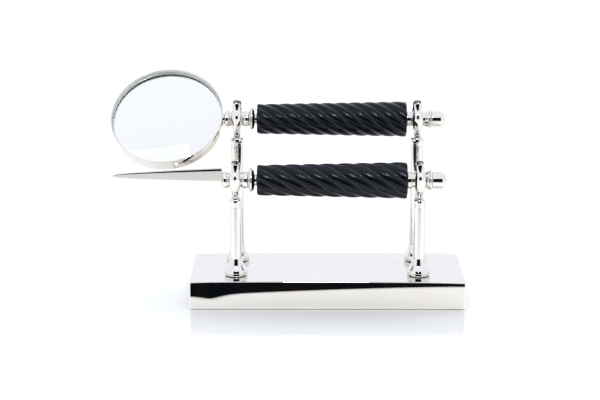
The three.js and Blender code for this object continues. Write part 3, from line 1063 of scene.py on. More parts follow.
@dataclass
class Post:
    """A turned post: bell foot, column, collar and fork, held from below by a screw and washer.

    Attributes:
        label: Which post it is.
        finishes: The object's finishes.
        throat: Half the width of the fork's throat.
        fork_drop: How far the fork's foot lies below the tool's axis.
        fork_rise: How far the fingertips reach above it.
        fork_reach: How far the fork's outside stands from the axis, level with it.
    """

    label: str
    finishes: Finishes
    throat: float = 6.6
    fork_drop: float = 16.0
    fork_rise: float = 15.8
    fork_reach: float = 11.55

    def upright(self, node: str) -> tuple[Axis, Array, Array]:
        """The upright axis through a part, from its foot, and its box."""
        low, high = low_corner(node), high_corner(node)
        middle = (low + high) / 2
        return axis_z((middle[0], middle[1], low[2])), low, high

    def build(self) -> None:
        """Makes the post's six pieces."""
        self.foot()
        self.column()
        self.collar()
        self.fork()
        self.screw()

    def foot(self) -> None:
        """Bell foot: a rounded rim, a fine step, then a dome that draws in to the column."""
        node = f"foot_{self.label}"
        axis, low, high = self.upright(node)
        rim = (high[0] - low[0]) / 2
        tall = high[2] - low[2]
        column = (high_corner(f"post_{self.label}")[0] - low_corner(f"post_{self.label}")[0]) / 2
        outside = [
            (-0.2, rim - 1.0, 0.2), (0.2, rim - 0.3, 1.0), (3.1, rim, 1.6), (4.9, rim - 0.7, 0.3),
            (5.1, rim - 0.8, 0.1), (7.4, rim - 2.4, 1.8), (9.8, column + 1.1, 1.2), (tall, column, 0.1),
        ]
        piece = build(f"{node}_bell", [bored(axis, outside, SCREW_HOLE, 96)])
        install(piece, Body.STAND, Slot.NICKEL, self.finishes.upright, node)

    def column(self) -> None:
        """Column with a slight taper and a threaded blind hole at each end."""
        node = f"post_{self.label}"
        axis, low, high = self.upright(node)
        tall = high[2] - low[2]
        wide = (high[0] - low[0]) / 2
        hole = 10.0
        reach = 0.26  # closes most of the gap to the foot and the collar
        narrow = wide - 0.3
        outline = rounded([
            (hole, 0, 0), (hole, SCREW_HOLE, 0.2), (-reach, SCREW_HOLE, 0.2), (-reach, wide, 0.05),
            (1.2, wide, 0.6), (tall - 1.2, narrow, 0.6), (tall + reach, narrow, 0.05),
            (tall + reach, SCREW_HOLE, 0.2), (tall - hole, SCREW_HOLE, 0.2), (tall - hole, 0, 0),
        ])
        install(build(f"{node}_column", [turned(axis, outline, 80)]), Body.STAND, Slot.NICKEL,
                self.finishes.upright, node)

    def collar(self) -> None:
        """Collar: a plain band under a cushion-shaped bead."""
        node = f"collar_{self.label}"
        axis, low, high = self.upright(node)
        wide = (high[0] - low[0]) / 2
        tall = high[2] - low[2]
        outside = [
            (0, wide - 0.3, 0.05), (2.4, wide - 0.3, 0.1), (2.6, wide + 0.1, 2.0), (tall - 0.3, wide, 2.3),
            (tall, wide - 2.3, 0.8), (tall, wide - 2.7, 0.1),
        ]
        install(build(f"{node}_bead", [bored(axis, outside, SCREW_HOLE, 80)]), Body.STAND, Slot.NICKEL,
                self.finishes.upright, node)

    def fork_skin(self, axis: Array) -> Skin:
        """The forked head as one skin, from the rear fingertip down round the throat to the front one.

        Each row of the skin is a D-shaped loop between an inner and an outer line in the plane across
        the tool. Below the axis the inner line is the throat's half circle, and the outer line climbs
        from the stem's foot. Above it the inner line climbs the throat's side and the outer line
        falls inwards by the running sum of the tangent of its slope: it swells in a ball beside the
        axis, draws in, and goes straight up to a round tip.
        """
        steps = 72
        share = np.linspace(0, 1, steps, endpoint=False)
        turn = (share - 1) * np.pi / 2
        stem = np.array([
            [0, -self.fork_drop], [3.6, -self.fork_drop], [3.4, -14.2], [5.4, -11.8], [8.6, -8.6],
            [10.7, -4.4], [11.3, -1.5], [self.fork_reach, 0],
        ])
        along_stem = np.array([0, 0.1, 0.2, 0.36, 0.58, 0.8, 0.93, 1])
        outer_low = np.stack([np.interp(share, along_stem, stem[:, k]) for k in range(2)], -1)
        outer_low = self.eased(outer_low, 5)
        inner_low = np.stack([np.cos(turn), np.sin(turn)], -1) * self.throat
        climb = np.linspace(0, 1, 60)
        height = self.fork_rise * np.sin(climb * np.pi / 2) ** 0.95
        slope = np.interp(height, [0, 3, 6.2, 8.2, 10.4, 13.2], np.radians([-9, 0, 27, 29, 15, 6]))
        drop = np.concatenate([[0], np.cumsum(np.diff(height) * np.tan((slope[1:] + slope[:-1]) / 2))])
        outside = self.fork_reach - drop
        inside = self.throat + 0.4 * smooth_step(height, 5, 12)
        tip = 2.2
        close = np.sqrt(np.clip(1 - np.clip((height - (self.fork_rise - tip)) / tip, 0, 1) ** 2, 0, 1))
        middle, half = (outside + inside) / 2, (outside - inside) / 2 * close
        inner_high = np.stack([middle - half, height], -1)
        outer_high = np.stack([middle + half, height], -1)
        inner = np.vstack([inner_low, inner_high])
        outer = np.vstack([outer_low, outer_high])
        width_low = np.interp(
            outer_low[:, 1], [-self.fork_drop, -14.2, -11, -6, 0], [3.6, 3.4, 4.0, 4.8, 5.0]
        )
        width_high = np.interp(height, [0, 3, 7.5, 10, 14], [5.0, 5.0, 4.1, 3.7, 3.7]) * close
        width = np.concatenate([width_low, width_high])
        fullness_low = 0.6 + 0.5 * smooth_step(share, 0.25, 0.8)
        fullness = np.concatenate([fullness_low, 1.1 + 0.3 * smooth_step(height, 4, 8)])
        mirrored = np.array([-1.0, 1.0])
        inner = np.vstack([inner[:0:-1] * mirrored, inner])
        outer = np.vstack([outer[:0:-1] * mirrored, outer])
        width = np.concatenate([width[:0:-1], width])
        fullness = np.concatenate([fullness[:0:-1], fullness])
        return self.loops(axis, inner[1:-1], outer[1:-1], width[1:-1], fullness[1:-1], inner[[0, -1]])

    def eased(self, line: Array, passes: int) -> Array:
        """A line whose inner points are averaged with their neighbours a few times."""
        for _ in range(passes):
            line[1:-1] = (line[:-2] + 2 * line[1:-1] + line[2:]) / 4
        return line

    def loops(
        self, axis: Array, inner: Array, outer: Array, width: Array, fullness: Array, tips: Array
    ) -> Skin:
        """D-shaped loops between two lines in the plane across the tool, round outside and flat inside.

        A loop's core lies near the inner line. A point is the core, plus the distance to the outer or
        the inner line times the cosine, plus the half width along X times the sine. Cosine and sine
        are raised to the loop's fullness on the outer side, and to a half on the inner side, with
        their signs kept.

        Args:
            axis: Point on the tool's axis.
            inner: Points of the inner line.
            outer: Points of the outer line.
            width: Half width along X of each loop.
            fullness: One for an elliptic outer side, less for a squarer one.
            tips: The two closing points.

        Returns:
            The closed skin.
        """
        phi = np.linspace(0, 2 * np.pi, 56, endpoint=False)[None]
        cosine, sine = np.cos(phi), np.sin(phi)
        power = np.where(cosine > 0, fullness[:, None], 0.5)
        cosine, sine = (np.sign(part) * np.abs(part) ** power for part in (cosine, sine))
        core = inner + (outer - inner) * 0.2
        reach = np.where(cosine[..., None] > 0, (outer - core)[:, None], (core - inner)[:, None])
        across = core[:, None] + reach * cosine[..., None]
        along = width[:, None] * sine
        sign = -1.0  # the front finger is the last in the list
        points = np.stack([axis[0] + along, axis[1] + sign * across[..., 0], axis[2] + across[..., 1]], -1)
        ends = [np.array([axis[0], axis[1] + sign * tip[0], axis[2] + tip[1]]) for tip in tips]
        return Skin(points, (ends[0], ends[1]))

    def fork(self) -> None:
        """The fork and the threaded spigot that screws into the column."""
        node = f"fork_{self.label}"
        low, high = low_corner(node), high_corner(node)
        middle = (low + high) / 2
        axis = np.array([middle[0], middle[1], high[2] - self.fork_rise])
        head = self.fork_skin(axis)
        shoulder = axis[2] - self.fork_drop
        end, wide = shoulder + 1.5, 2.5
        spigot = rounded([
            (low[2], 0, 0), (low[2], 2.1, 0.1), (low[2] + 0.5, wide, 0.1), (end, wide, 0.1), (end, 0, 0),
        ])
        shank = np.linspace(low[2] + 0.6, shoulder + 1.4, 140)
        spigot = np.vstack([spigot[:4], np.stack([shank, np.full_like(shank, wide)], -1), spigot[-2:]])
        cut_thread = thread(PITCH, THREAD_DEPTH, low[2], low[2] + 8)
        stud = turned(axis_z((axis[0], axis[1], 0)), spigot, 36, cut_thread)
        install(build(f"{node}_head", [head, stud], math.radians(50)), Body.STAND, Slot.NICKEL,
                self.finishes.cast, node)

    def screw(self) -> None:
        """Socket screw and washer that hold the post to the deck from below."""
        node = f"post_screw_{self.label}"
        low, high = low_corner(node), high_corner(node)
        middle = (low + high) / 2
        head = (high[0] - low[0]) / 2
        seat = low[2] + 3.4
        depth = 2.2
        socket = 2.3
        shank = np.linspace(seat + 0.5, high[2] - 0.5, 260)
        wide = 2.5
        rim = rounded([
            (low[2] + depth, 0, 0), (low[2] + depth, socket, 0.05), (low[2], socket, 0.05),
            (low[2], head - 0.8, 0.1), (low[2] + 1.0, head, 0.6), (seat, head, 0.2), (seat, wide, 0.2),
        ])
        tip = [[high[2], wide - 0.5], [high[2], 0]]
        outline = np.vstack([rim, np.stack([shank, np.full_like(shank, wide)], -1), tip])
        cut_thread = thread(PITCH, 0.38, seat + 6, high[2])

        def shape(station: Array, radius: Array, theta: Array) -> Array:
            """Six flat sides inside the socket, and the thread on the shank."""
            flats = np.cos(np.pi / 6) / np.cos((theta % (np.pi / 3)) - np.pi / 6)
            inside = (station < seat) & (radius < socket + 0.01)
            return np.where(inside, radius * flats, cut_thread(station, radius, theta))

        piece = build(f"{node}_socket_head", [turned(axis_z((middle[0], middle[1], 0)), outline, 36, shape)])
        install(piece, Body.STAND, Slot.STEEL, self.finishes.steel_upright, node)
        node = f"post_washer_{self.label}"
        axis, low, high = self.upright(node)
        wide, tall = (high[0] - low[0]) / 2, high[2] - low[2]
        outside = [(0, wide, 0.25), (tall, wide, 0.25)]
        piece = build(f"{node}_ring", [bored(axis, outside, SCREW_HOLE, 60)])
        install(piece, Body.STAND, Slot.STEEL, self.finishes.steel_upright, node)


# ------------------------------------------------------------------ what both tools share


@dataclass(frozen=True)
class GripSize:
    """How a grip is carved.

    Attributes:
        start_radius: Radius over the strands at the left end.
        end_radius: The same at the right end.
        lead: Length of one full turn of a strand.
        strands: Number of strands.
        carve: Depth of the grooves.
    """

    start_radius: float
    end_radius: float
    lead: float
    strands: int = 7
    carve: float = 1.5


@dataclass
class Tool:
    """What the magnifying glass and the letter opener share.

    Attributes:
        finishes: The object's finishes.
        name: First word of the parts' names.
        body: Body of the pieces that turn.
        rod: Body of the tang.
        grip: How the grip is carved.
        neck: Outside of the neck, from its left end.
        flange: Outside of the flange, from its left end.
        butt: Outside of the butt journal, from its left end.
    """

    finishes: Finishes
    name: str = ""
    body: Body = Body.GLASS
    rod: Body = Body.GLASS_ROD
    grip: GripSize = GripSize(13.3, 15.7, 86.0)
    neck: tuple[Corner, ...] = ()
    flange: tuple[Corner, ...] = ()
    butt: tuple[Corner, ...] = ()

    def line(self, node: str) -> Axis:
        """The tool's axis, with stations from a part's left end."""
        middle = centre_of(f"{self.name}_tang")
        return axis_x((low_corner(f"{self.name}_{node}")[0], middle[1], middle[2]))

    def length(self, node: str) -> float:
        """A part's length along X."""
        return float(high_corner(f"{self.name}_{node}")[0] - low_corner(f"{self.name}_{node}")[0])

    def turn(self, node: str, suffix: str, skins: Sequence[Skin]) -> bpy.types.Object:
        """Builds a nickel fitting of the tool."""
        part = f"{self.name}_{node}"
        return install(build(f"{part}_{suffix}", skins), self.body, Slot.NICKEL, self.finishes.spun, part)

    def build_fittings(self) -> None:
        """Makes everything from the tang to the end nut."""
        self.turn("neck", "turned", [bored(self.line("neck"), self.neck)])
        self.turn("flange", "turned", [bored(self.line("flange"), self.flange, segments=96)])
        self.turn("butt_journal", "turned", [bored(self.line("butt_journal"), self.butt)])
        self.end_disc()
        self.end_nut()
        self.tang()
        self.build_grip()

    def end_disc(self) -> None:
        """Thin disc with a rounded edge."""
        wide = high_corner(f"{self.name}_end_disc")[2] - centre_of(f"{self.name}_tang")[2]
        long = self.length("end_disc")
        outside = [(0, wide, long / 2), (long, wide, long / 2)]
        self.turn("end_disc", "turned", [bored(self.line("end_disc"), outside)])

    def end_nut(self) -> None:
        """Nut with a chamfered mouth, a straight barrel and a domed end, which is a quarter ellipse."""
        wide = high_corner(f"{self.name}_end_nut")[2] - centre_of(f"{self.name}_tang")[2]
        long = self.length("end_nut")
        dome_start = long - wide * 0.68
        sweep = np.linspace(0, np.pi / 2, 22)
        dome = np.stack([dome_start + (long - dome_start) * np.sin(sweep), wide * np.cos(sweep)], -1)
        hole_end = long - 5.4
        barrel = rounded([
            (hole_end, 0, 0), (hole_end, BORE, 0.2), (0, BORE, 0.3), (0, wide - 0.4, 0.3), (0.5, wide, 0.4),
            (dome_start - 0.2, wide, 0),
        ])
        dome[-1, 1] = 0
        self.turn("end_nut", "turned", [turned(self.line("end_nut"), np.vstack([barrel, dome]), 80)])

    def tang(self) -> None:
        """Steel tang, threaded at both ends."""
        part = f"{self.name}_tang"
        long = self.length("tang")
        radius = 2.4
        threaded = 11.0
        bevel = 0.4
        ends = np.concatenate([
            np.linspace(bevel, threaded, 150), np.linspace(long - threaded, long - bevel, 150),
        ])
        outline = np.vstack([
            [[0, 0], [0, radius - bevel]], np.stack([ends, np.full_like(ends, radius)], -1),
            [[long, radius - bevel], [long, 0]],
        ])
        left = thread(PITCH, THREAD_DEPTH, 0, threaded)
        right = thread(PITCH, THREAD_DEPTH, long - threaded, long)

        def shape(station: Array, size: Array, theta: Array) -> Array:
            """Threads at both ends of the rod."""
            return right(station, left(station, size, theta), theta)

        piece = build(f"{part}_rod", [turned(self.line("tang"), outline, 32, shape)])
        install(piece, self.rod, Slot.STEEL, self.finishes.steel_spun, part)

    def build_grip(self) -> None:
        """The carved grip.

        Its radius is the nominal one, which grows evenly along the grip, less the carving depth times
        one less the size of the sine of half the strand's angle. The strand's angle is the number of
        strands times the angle round the grip, less the twist, which is a full turn in each lead.
        """
        part = f"{self.name}_grip"
        long = self.length("grip")
        size = self.grip
        columns = size.strands * 28
        ease = 1.3
        along = np.concatenate([
            ease * (1 - np.cos(np.linspace(0, np.pi / 2, 8)))[:-1],
            np.linspace(ease, long - ease, 190),
            (long - ease * (1 - np.cos(np.linspace(np.pi / 2, 0, 8))))[1:],
        ])
        theta = np.linspace(0, 2 * np.pi, columns, endpoint=False)
        station, angle = np.meshgrid(along, theta, indexing="ij")
        twist = 2 * np.pi * station / size.lead
        lobe = np.abs(np.sin(size.strands * (angle - twist) / 2))
        nominal = size.start_radius + (size.end_radius - size.start_radius) * station / long
        distance = np.minimum(station, long - station)
        softened = ease * (1 - np.sqrt(np.clip(1 - (1 - np.clip(distance / ease, 0, 1)) ** 2, 0, 1)))
        radius = nominal - size.carve * (1 - lobe**0.9) - softened
        caps = np.array([0.96, 0.75, 0.4, 0.0])[:, None]
        left = BORE + (radius[0] - BORE) * caps[::-1]
        right = BORE + (radius[-1] - BORE) * caps
        all_station = np.vstack([np.zeros_like(left), station, np.full_like(right, long)])
        all_radius = np.vstack([left, radius, right])
        all_angle = np.repeat(theta[None], len(all_station), 0)
        line = self.line("grip")
        untwisted = all_angle - 2 * np.pi * all_station / size.lead
        strand = np.stack([
            all_radius * np.cos(untwisted), all_radius * np.sin(untwisted), all_station,
        ], -1)
        groove = 1 - np.abs(np.sin(size.strands * untwisted / 2))
        groove[:4], groove[-4:] = 0, 0
        points = line.place(all_station, all_radius, all_angle)
        skin = Skin(points, paint={"strand": strand, "groove": groove})
        piece = build(f"{part}_carved", [skin], math.radians(60))
        install(piece, self.body, Slot.GRIP, self.finishes.horn, part)


# ------------------------------------------------------------------ magnifying glass


@dataclass
class MagnifyingGlass(Tool):
    """The glass: a ring that holds a double-convex lens, on a rope-carved grip.

    Attributes:
        lean: How far the lens leans back from upright.
        yaw: How far its face turns towards the tool's free end.
        ring_radius: Outside of the ring.
        ring_depth: Depth of the band.
        band_inside: Inner radius of the band.
        flange_inside: Inner radius of the flange behind the lens.
        retainer_inside: Inner radius of the thin ring in front of it.
        front: Front of the lens at its edge, ahead of the ring's middle plane.
        edge: Thickness of the lens at its edge.
        sag: How far each face rises from edge to crown.
    """

    name: str = "magnifier"
    neck: tuple[Corner, ...] = (
        *bead(0, 3.7, 7.5, 5.9), (3.8, 6.8, 0.2), (5.8, 6.0, 0.5), (15.4, 6.0, 0.6), (18.0, 7.0, 0.2),
        *bead(18.1, 20.7, 7.3, 6.9),
    )
    flange: tuple[Corner, ...] = (
        (0, 6.6, 0.3), (1.5, 9.4, 1.2), (2.5, 10.8, 0.5), (3.4, 10.8, 0.4), (5.2, 7.4, 0.5), (5.4, 4.7, 0.3),
        (7.2, 4.6, 0.1),
    )
    butt: tuple[Corner, ...] = (
        (0, 6.2, 0.3), (0.2, 6.85, 0.5), (3.9, 6.85, 0.5), (4.3, 6.15, 0.2), (14.4, 6.15, 1.0),
        (16.6, 6.5, 1.6), (18.9, 7.9, 0.9), (19.9, 8.0, 0.4),
    )
    lean: float = math.radians(44)
    yaw: float = math.radians(5)
    ring_radius: float = 50.0
    ring_depth: float = 12.0
    band_inside: float = 49.1
    flange_inside: float = 47.6
    retainer_inside: float = 48.1
    front: float = 0.9
    edge: float = 5.0
    sag: float = 2.2

    def lens_axis(self) -> Axis:
        """The axis through the ring's middle, towards the viewer's side of the lens."""
        sine, cosine = math.sin(self.lean), math.cos(self.lean)
        side, ahead = math.sin(self.yaw), math.cos(self.yaw)
        along = (-side * sine, -ahead * sine, cosine)
        middle = centre_of("magnifier_lens") - (self.front - self.edge / 2) * np.array(along)
        return Axis(tuple(middle), along, (ahead, -side, 0), (side * cosine, ahead * cosine, sine))

    def build(self) -> None:
        """Makes the ring, the lens, its retainer and the fittings."""
        self.bezel()
        self.lens()
        self.retainer()
        self.build_fittings()

    def bezel(self) -> None:
        """The ring's band and flange, and the boss that the neck screws into."""
        half = self.ring_depth / 2
        front = self.front - self.edge - 0.3
        back = front - 1.0
        outer, inner, flange = self.ring_radius, self.band_inside, self.flange_inside
        outline = rounded([
            (-half, outer - 0.15, 0.3), (half, outer - 0.15, 0.3), (half, inner, 0.3), (front, inner, 0.15),
            (front, flange, 0.25), (back, flange, 0.25), (back, inner, 0.1), (-half, inner, 0.3),
        ], closed=True, steps=5)
        bulge = self.crowned(half)
        ring = turned(self.lens_axis(), outline, 288, bulge)
        # The band's inner wall ahead of the flange takes the second material, a lighter nickel that paints
        # light there.
        ring.slots = ((outline[:, 1] < inner + 0.02) & (outline[:, 0] > back)).astype(int)
        middle = centre_of("magnifier_tang")
        centre_x = self.lens_axis().origin[0]
        face = low_corner("magnifier_neck")[0] - 0.2 - centre_x
        start = outer - 0.5
        boss = turned(axis_x((centre_x, middle[1], middle[2])), rounded([
            (start, 0, 0), (start, 5.0, 0.1), (face - 0.2, 5.0, 0.2), (face, 4.9, 0.2), (face, BORE, 0.2),
            (start + 0.1, BORE, 0.05), (start + 0.1, 0, 0),
        ]), 48)
        piece = build("bezel_ring_band", [ring, boss])
        install(piece, self.body, Slot.NICKEL, self.finishes.ring, "bezel_ring")
        piece.data.materials.append(self.finishes.ring_wall_painted_light)

    def crowned(self, half: float) -> Callable[[Array, Array, Array], Array]:
        """A slight swell of the band's outside, highest at mid-depth."""
        outer = self.ring_radius

        def shape(station: Array, radius: Array, theta: Array) -> Array:
            """Radius plus the swell on the outer face."""
            swell = 0.15 * (1 - (station / half) ** 2)
            return np.where(radius > outer - 0.3, radius + swell, radius)

        return shape

    def lens(self) -> None:
        """Two crowned faces, whose height falls with the square of the radius, and a ground edge."""
        radius = self.band_inside - 0.3
        half = self.edge / 2
        back = self.front - self.edge / 2
        share = np.linspace(0, 1, 40)
        face = np.stack([half + self.sag * (1 - share**2), radius * share], -1)
        bevel = 0.25
        face[-1] = (half, radius - bevel)
        rim = np.array([[half - bevel, radius], [0, radius], [bevel - half, radius]])
        outline = np.vstack([face, rim, face[::-1] * (-1, 1)])
        outline[:, 0] += back
        skin = turned(self.lens_axis(), outline, 192)
        rows = skin.points.shape[0] - 1
        slots = np.zeros(rows, int)
        middle = rows // 2
        slots[middle - 2 : middle + 2] = 1
        skin.slots = slots
        piece = build("magnifier_lens_glass", [skin], math.radians(24))
        install(piece, self.body, Slot.LENS, self.finishes.lens, "magnifier_lens")
        piece.data.materials.append(self.finishes.lens_edge)

    def retainer(self) -> None:
        """Thin ring in front of the lens, with two notches for a spanner."""
        outside = self.band_inside - 0.3
        bottom = self.front + 0.3
        top = bottom + 0.8
        inner = self.retainer_inside
        corners = ((bottom, inner), (bottom, outside), (top, outside), (top, inner))
        outline = rounded([(*corner, 0.15) for corner in corners], closed=True)

        def shape(station: Array, radius: Array, theta: Array) -> Array:
            """Radius with the inner edge set back at the two notches."""
            near = np.abs(((theta + np.pi / 2) % np.pi) - np.pi / 2) < 0.03
            return np.where(near & (radius < inner + 0.3), radius + 0.3, radius)

        skin = turned(self.lens_axis(), outline, 360, shape)
        piece = build("lens_retainer_ring", [skin])
        install(piece, self.body, Slot.NICKEL, self.finishes.ring, "lens_retainer")


# ------------------------------------------------------------------ letter opener


@dataclass
class LetterOpener(Tool):
    """The opener: a slim blade on a rope-carved grip.

    Attributes:
        blade_thickness: Half the blade's thickness at its back.
    """

    name: str = "opener"
    body: Body = Body.OPENER
    rod: Body = Body.OPENER_ROD
    grip: GripSize = GripSize(13.3, 16.0, 106.0)
    neck: tuple[Corner, ...] = (
        *bead(0, 3.4, 7.2, 6.0), (3.5, 6.9, 0.2), (5.8, 6.0, 0.5), (15.4, 6.0, 0.6), (18.0, 7.0, 0.2),
        *bead(18.1, 20.8, 7.4, 6.9),
    )
    flange: tuple[Corner, ...] = (
        (0, 6.8, 0.3), (1.6, 9.6, 1.2), (2.6, 11.0, 0.5), (3.8, 11.0, 0.4), (5.9, 7.8, 0.5), (6.2, 4.9, 0.3),
        (8.0, 4.8, 0.1),
    )
    butt: tuple[Corner, ...] = (
        (0, 6.6, 0.3), (0.2, 7.3, 0.5), (3.6, 7.3, 0.5), (4.0, 6.15, 0.2), (15.4, 6.15, 0.9),
        (17.2, 7.6, 0.8), (18.4, 8.2, 0.4), (18.7, 8.2, 0.2),
    )
    blade_thickness: float = 1.7

    def build(self) -> None:
        """Makes the blade and the fittings."""
        self.blade()
        self.build_fittings()

    def blade(self) -> None:
        """The blade, from a rounded point to the tongue that sits in the neck.

        The back rises with the power 0.6 of the share of the length from the point, and the edge falls
        with the power 0.55. The section is a wedge: its half thickness falls slowly from the back to a
        ridge below the middle, then faster to the edge. The back is bevelled and rounded.
        """
        node = "opener_blade"
        low, high = low_corner(node), high_corner(node)
        axis = centre_of("opener_tang")
        root = low_corner("opener_neck")[0] - 0.3
        share = np.concatenate([np.linspace(0, 1, 22)[1:] ** 2 * 0.12, np.linspace(0.12, 1, 110)[1:]])
        x = low[0] + (root - low[0]) * share
        back = 4.2 + 6.8 * share**0.6
        edge = 2.4 - 9.6 * share**0.55
        round_end = 1 - 0.25 * np.clip((share - 0.985) / 0.015, 0, 1) ** 2
        middle, half = (back + edge) / 2, (back - edge) / 2 * round_end
        thick = self.blade_thickness * (0.3 + 0.7 * np.minimum(1, share * 3)) * round_end
        phi = np.linspace(0, 2 * np.pi, 96, endpoint=False)
        sine = np.sin(phi)
        level = np.sign(sine) * np.abs(sine) ** 0.8
        wall = np.interp(level, [-1, -0.3, 0.78, 0.93, 1], [0.07, 0.95, 1.0, 0.8, 0.75])
        cap = np.sqrt(1 - np.clip((level - 0.92) / 0.08, 0, 1) ** 2)
        out = np.where(np.abs(np.cos(phi)) < 1e-6, 0, np.sign(np.cos(phi))) * wall * cap
        grid_x = np.repeat(x[:, None], len(phi), 1)
        grid_y = axis[1] + thick[:, None] * out[None]
        grid_z = axis[2] + middle[:, None] + half[:, None] * level[None]
        points = np.stack([grid_x, grid_y, grid_z], -1)
        tip = np.array([low[0], axis[1], axis[2] + 3.3])
        heel = np.array([root, axis[1], axis[2] + middle[-1]])
        tongue = self.tongue(root - 0.2, high[0], axis)
        piece = build("opener_blade_ground", [Skin(points, (tip, heel)), tongue], math.radians(40))
        install(piece, self.body, Slot.BLADE, self.finishes.blade, node)

    def tongue(self, start: float, end: float, axis: Array) -> Skin:
        """Flat tongue with softened corners, at the blade's root."""
        phi = np.linspace(0, 2 * np.pi, 40, endpoint=False)
        fullness = 0.4
        cosine = np.sign(np.cos(phi)) * np.abs(np.cos(phi)) ** fullness
        sine = np.sign(np.sin(phi)) * np.abs(np.sin(phi)) ** fullness
        x = np.array([start, start + 0.3, end - 0.3, end])
        scale = np.array([0.96, 1, 1, 0.94])
        points = np.stack([
            np.repeat(x[:, None], len(phi), 1),
            axis[1] + 1.3 * scale[:, None] * cosine[None],
            axis[2] + 4.3 * scale[:, None] * sine[None],
        ], -1)
        return Skin(points, (np.array([start, axis[1], axis[2]]), np.array([end, axis[1], axis[2]])))


# ------------------------------------------------------------------ studio


def add_stage(
    name: str, points: list, faces: list, material: bpy.types.Material, mirrors_only: bool = True
) -> None:
    """Adds a thing that isn't part of the object.

    Args:
        name: Its name.
        points: Its vertices, in metres.
        faces: Its faces, as vertex numbers.
        material: Its material.
        mirrors_only: Whether it is hidden from everything but mirrors.
    """
    mesh = bpy.data.meshes.new(name)
    mesh.from_pydata(points, [], faces)
    mesh.materials.append(material)
    obj = bpy.data.objects.new(name, mesh)
    bpy.context.scene.collection.objects.link(obj)
    if mirrors_only:
        obj.visible_camera = False
        obj.visible_diffuse = False
        obj.visible_transmission = False
        obj.visible_shadow = False


@dataclass(frozen=True)
class DarkCard:
    """A dark card that only mirrors show: a sector of the floor and the curved wall behind it.

    Attributes:
        name: Its name.
        azimuth: Direction from the object, in degrees, with 0 in front and 90 at the right.
        half_angle: Half its spread, in degrees.
        near: Distance where the floor sector starts, in metres.
        far: Distance of the wall.
        height: Height of the wall.
        tone: Its colour.
        other: A second colour that it drifts to in places.
    """

    name: str
    azimuth: float
    half_angle: float
    near: float
    far: float
    height: float
    tone: tuple[float, float, float, float]
    other: tuple[float, float, float, float]

    def build(self) -> None:
        """Makes the card and hides it from everything but mirrors."""
        angle = np.radians(np.linspace(self.azimuth - self.half_angle, self.azimuth + self.half_angle, 25))
        reach = np.array([self.near, self.far, self.far])
        height = np.array([0.002, 0.002, self.height])
        x = reach[:, None] * np.sin(angle)[None]
        y = -reach[:, None] * np.cos(angle)[None]
        z = np.repeat(height[:, None], len(angle), 1)
        rows, columns = x.shape
        index = np.arange(rows * columns).reshape(rows, columns)
        faces = np.stack([index[:-1, :-1], index[:-1, 1:], index[1:, 1:], index[1:, :-1]], -1).reshape(-1, 4)
        points = np.stack([x, y, z], -1).reshape(-1, 3)
        material, tree, shader = blank(f"{self.name}_cloth")
        place = object_place(tree)
        cloth = add_group(
            tree, TINT, Place=place, Scale=2.6, Tone_A=self.tone, Tone_B=self.other, Low=0.4, High=0.6
        )
        glow = {"Emission_Color": cloth.outputs["Color"], "Emission_Strength": 1.0}
        set_inputs(
            tree, shader, Base_Color=(0, 0, 0, 1), Roughness=1.0, Specular_IOR_Level=0.0, **glow
        )
        add_stage(self.name, points.tolist(), faces.tolist(), material)


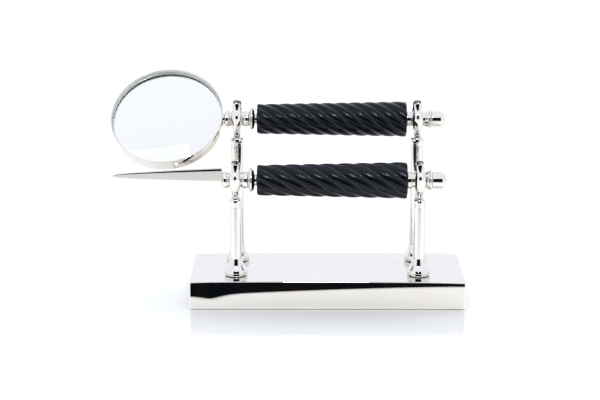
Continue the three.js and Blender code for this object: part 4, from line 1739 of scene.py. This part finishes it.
@dataclass
class Studio:
    """Pale floor, soft white light all round, dark cards for the mirrors and the camera.

    Attributes:
        place: Camera's place, in metres.
        pitch: How far it looks down, in degrees.
        yaw: How far it looks to the right, in degrees.
        focal: Focal length over the picture's width.
        cards: The dark cards.
    """

    place: tuple[float, float, float] = (-0.01808, -1.47317, 0.45909)
    pitch: float = 14.197
    yaw: float = -0.2295
    focal: float = 2.86938
    cards: tuple[DarkCard, ...] = (
        DarkCard(
            "card_front",
            azimuth=0,
            half_angle=29,
            near=0.565,
            far=1.1,
            height=0.84,
            tone=(0.002, 0.005, 0.010, 1),
            other=(0.012, 0.008, 0.006, 1),
        ),
    )

    def build(self) -> None:
        """Makes the floor, the light, the cards and the camera."""
        self.world()
        self.floor()
        self.lamp()
        self.strip()
        for card in self.cards:
            card.build()
        self.camera()

    def world(self) -> None:
        """Even white surroundings."""
        world = bpy.data.worlds.new("white_tent")
        world.use_nodes = True
        background = world.node_tree.nodes["Background"]
        background.inputs["Color"].default_value = (1.055, 1.105, 1.21, 1)
        background.inputs["Strength"].default_value = 1.0
        bpy.context.scene.world = world
        bpy.context.scene.view_settings.view_transform = "Standard"

    def floor(self) -> None:
        """A large, plain, glossy white floor, with a painted glow just in front of the object that only
        mirrors see.
        """
        material, tree, shader = blank("floor_white")
        depth = add_node(tree, "ShaderNodeSeparateXYZ", _0=object_place(tree)).outputs["Y"]
        # Painted reflection: the floor glows for glossy rays only, fully from 3 cm to 14 cm in front of the
        # object and fading out by 50 cm, so the nickel mirrors no contact shadow there.
        glossy_glow_band = add_node(tree, "ShaderNodeMapRange", _0=depth, _1=-0.5, _2=-0.14)
        ahead = add_node(tree, "ShaderNodeMath", {"operation": "LESS_THAN"}, _0=depth, _1=-0.03)
        seen = add_node(tree, "ShaderNodeLightPath").outputs["Is Glossy Ray"]
        times = {"operation": "MULTIPLY"}
        masked = add_node(tree, "ShaderNodeMath", times, _0=glossy_glow_band.outputs[0], _1=ahead.outputs[0])
        glow = add_node(tree, "ShaderNodeMath", times, _0=masked.outputs[0], _1=seen)
        light = {"Emission_Strength": glow.outputs[0], "Emission_Color": (0.3, 0.305, 0.31, 1)}
        set_inputs(tree, shader, Base_Color=(0.9, 0.885, 0.85, 1), Roughness=0.1, IOR=1.4, **light)
        size = 12.0
        points = [(-size, -size, 0), (size, -size, 0), (size, size, 0), (-size, size, 0)]
        add_stage("floor", points, [(0, 1, 2, 3)], material, mirrors_only=False)

    def lamp(self) -> None:
        """A wide soft light overhead, a little behind the object."""
        light = bpy.data.lights.new("overhead", "AREA")
        light.shape = "RECTANGLE"
        light.size, light.size_y = 1.2, 0.8
        light.energy = 7.0
        lamp = bpy.data.objects.new("overhead", light)
        lamp.location = (0.0, 0.55, 1.5)
        lamp.rotation_euler = (math.radians(-20), 0, 0)
        lamp.visible_glossy = False
        bpy.context.scene.collection.objects.link(lamp)

    def strip(self) -> None:
        """A narrow bright strip, high in front, that only mirrors show."""
        wide, tall = 0.07, 0.06
        distance, rise = 0.86, 0.86
        points = [
            (-wide, -distance, rise), (wide, -distance, rise), (wide, -distance + tall, rise + tall),
            (-wide, -distance + tall, rise + tall),
        ]
        material, tree, shader = blank("light_strip_glow")
        glow = {"Emission_Color": (0.9, 0.96, 1, 1), "Emission_Strength": 110.0}
        set_inputs(tree, shader, Base_Color=(0, 0, 0, 1), **glow)
        add_stage("light_strip", points, [(0, 1, 2, 3)], material)

    def camera(self) -> None:
        """The camera: looks along +Y, turned by the yaw and tipped down by the pitch."""
        data = bpy.data.cameras.new("camera")
        data.sensor_width = 36.0
        data.lens = data.sensor_width * self.focal
        data.clip_end = 100.0
        camera = bpy.data.objects.new("camera", data)
        camera.location = self.place
        camera.rotation_euler = (math.radians(90 - self.pitch), 0, math.radians(-self.yaw))
        bpy.context.scene.collection.objects.link(camera)
        bpy.context.scene.camera = camera


def main() -> None:
    """Builds the studio and the object, sub-assembly by sub-assembly."""
    finishes = make_finishes()
    Studio().build()
    Base(finishes).build()
    for label in POST_LABELS:
        Post(label, finishes).build()
    MagnifyingGlass(finishes).build()
    LetterOpener(finishes).build()


if __name__ == "__main__":
    main()
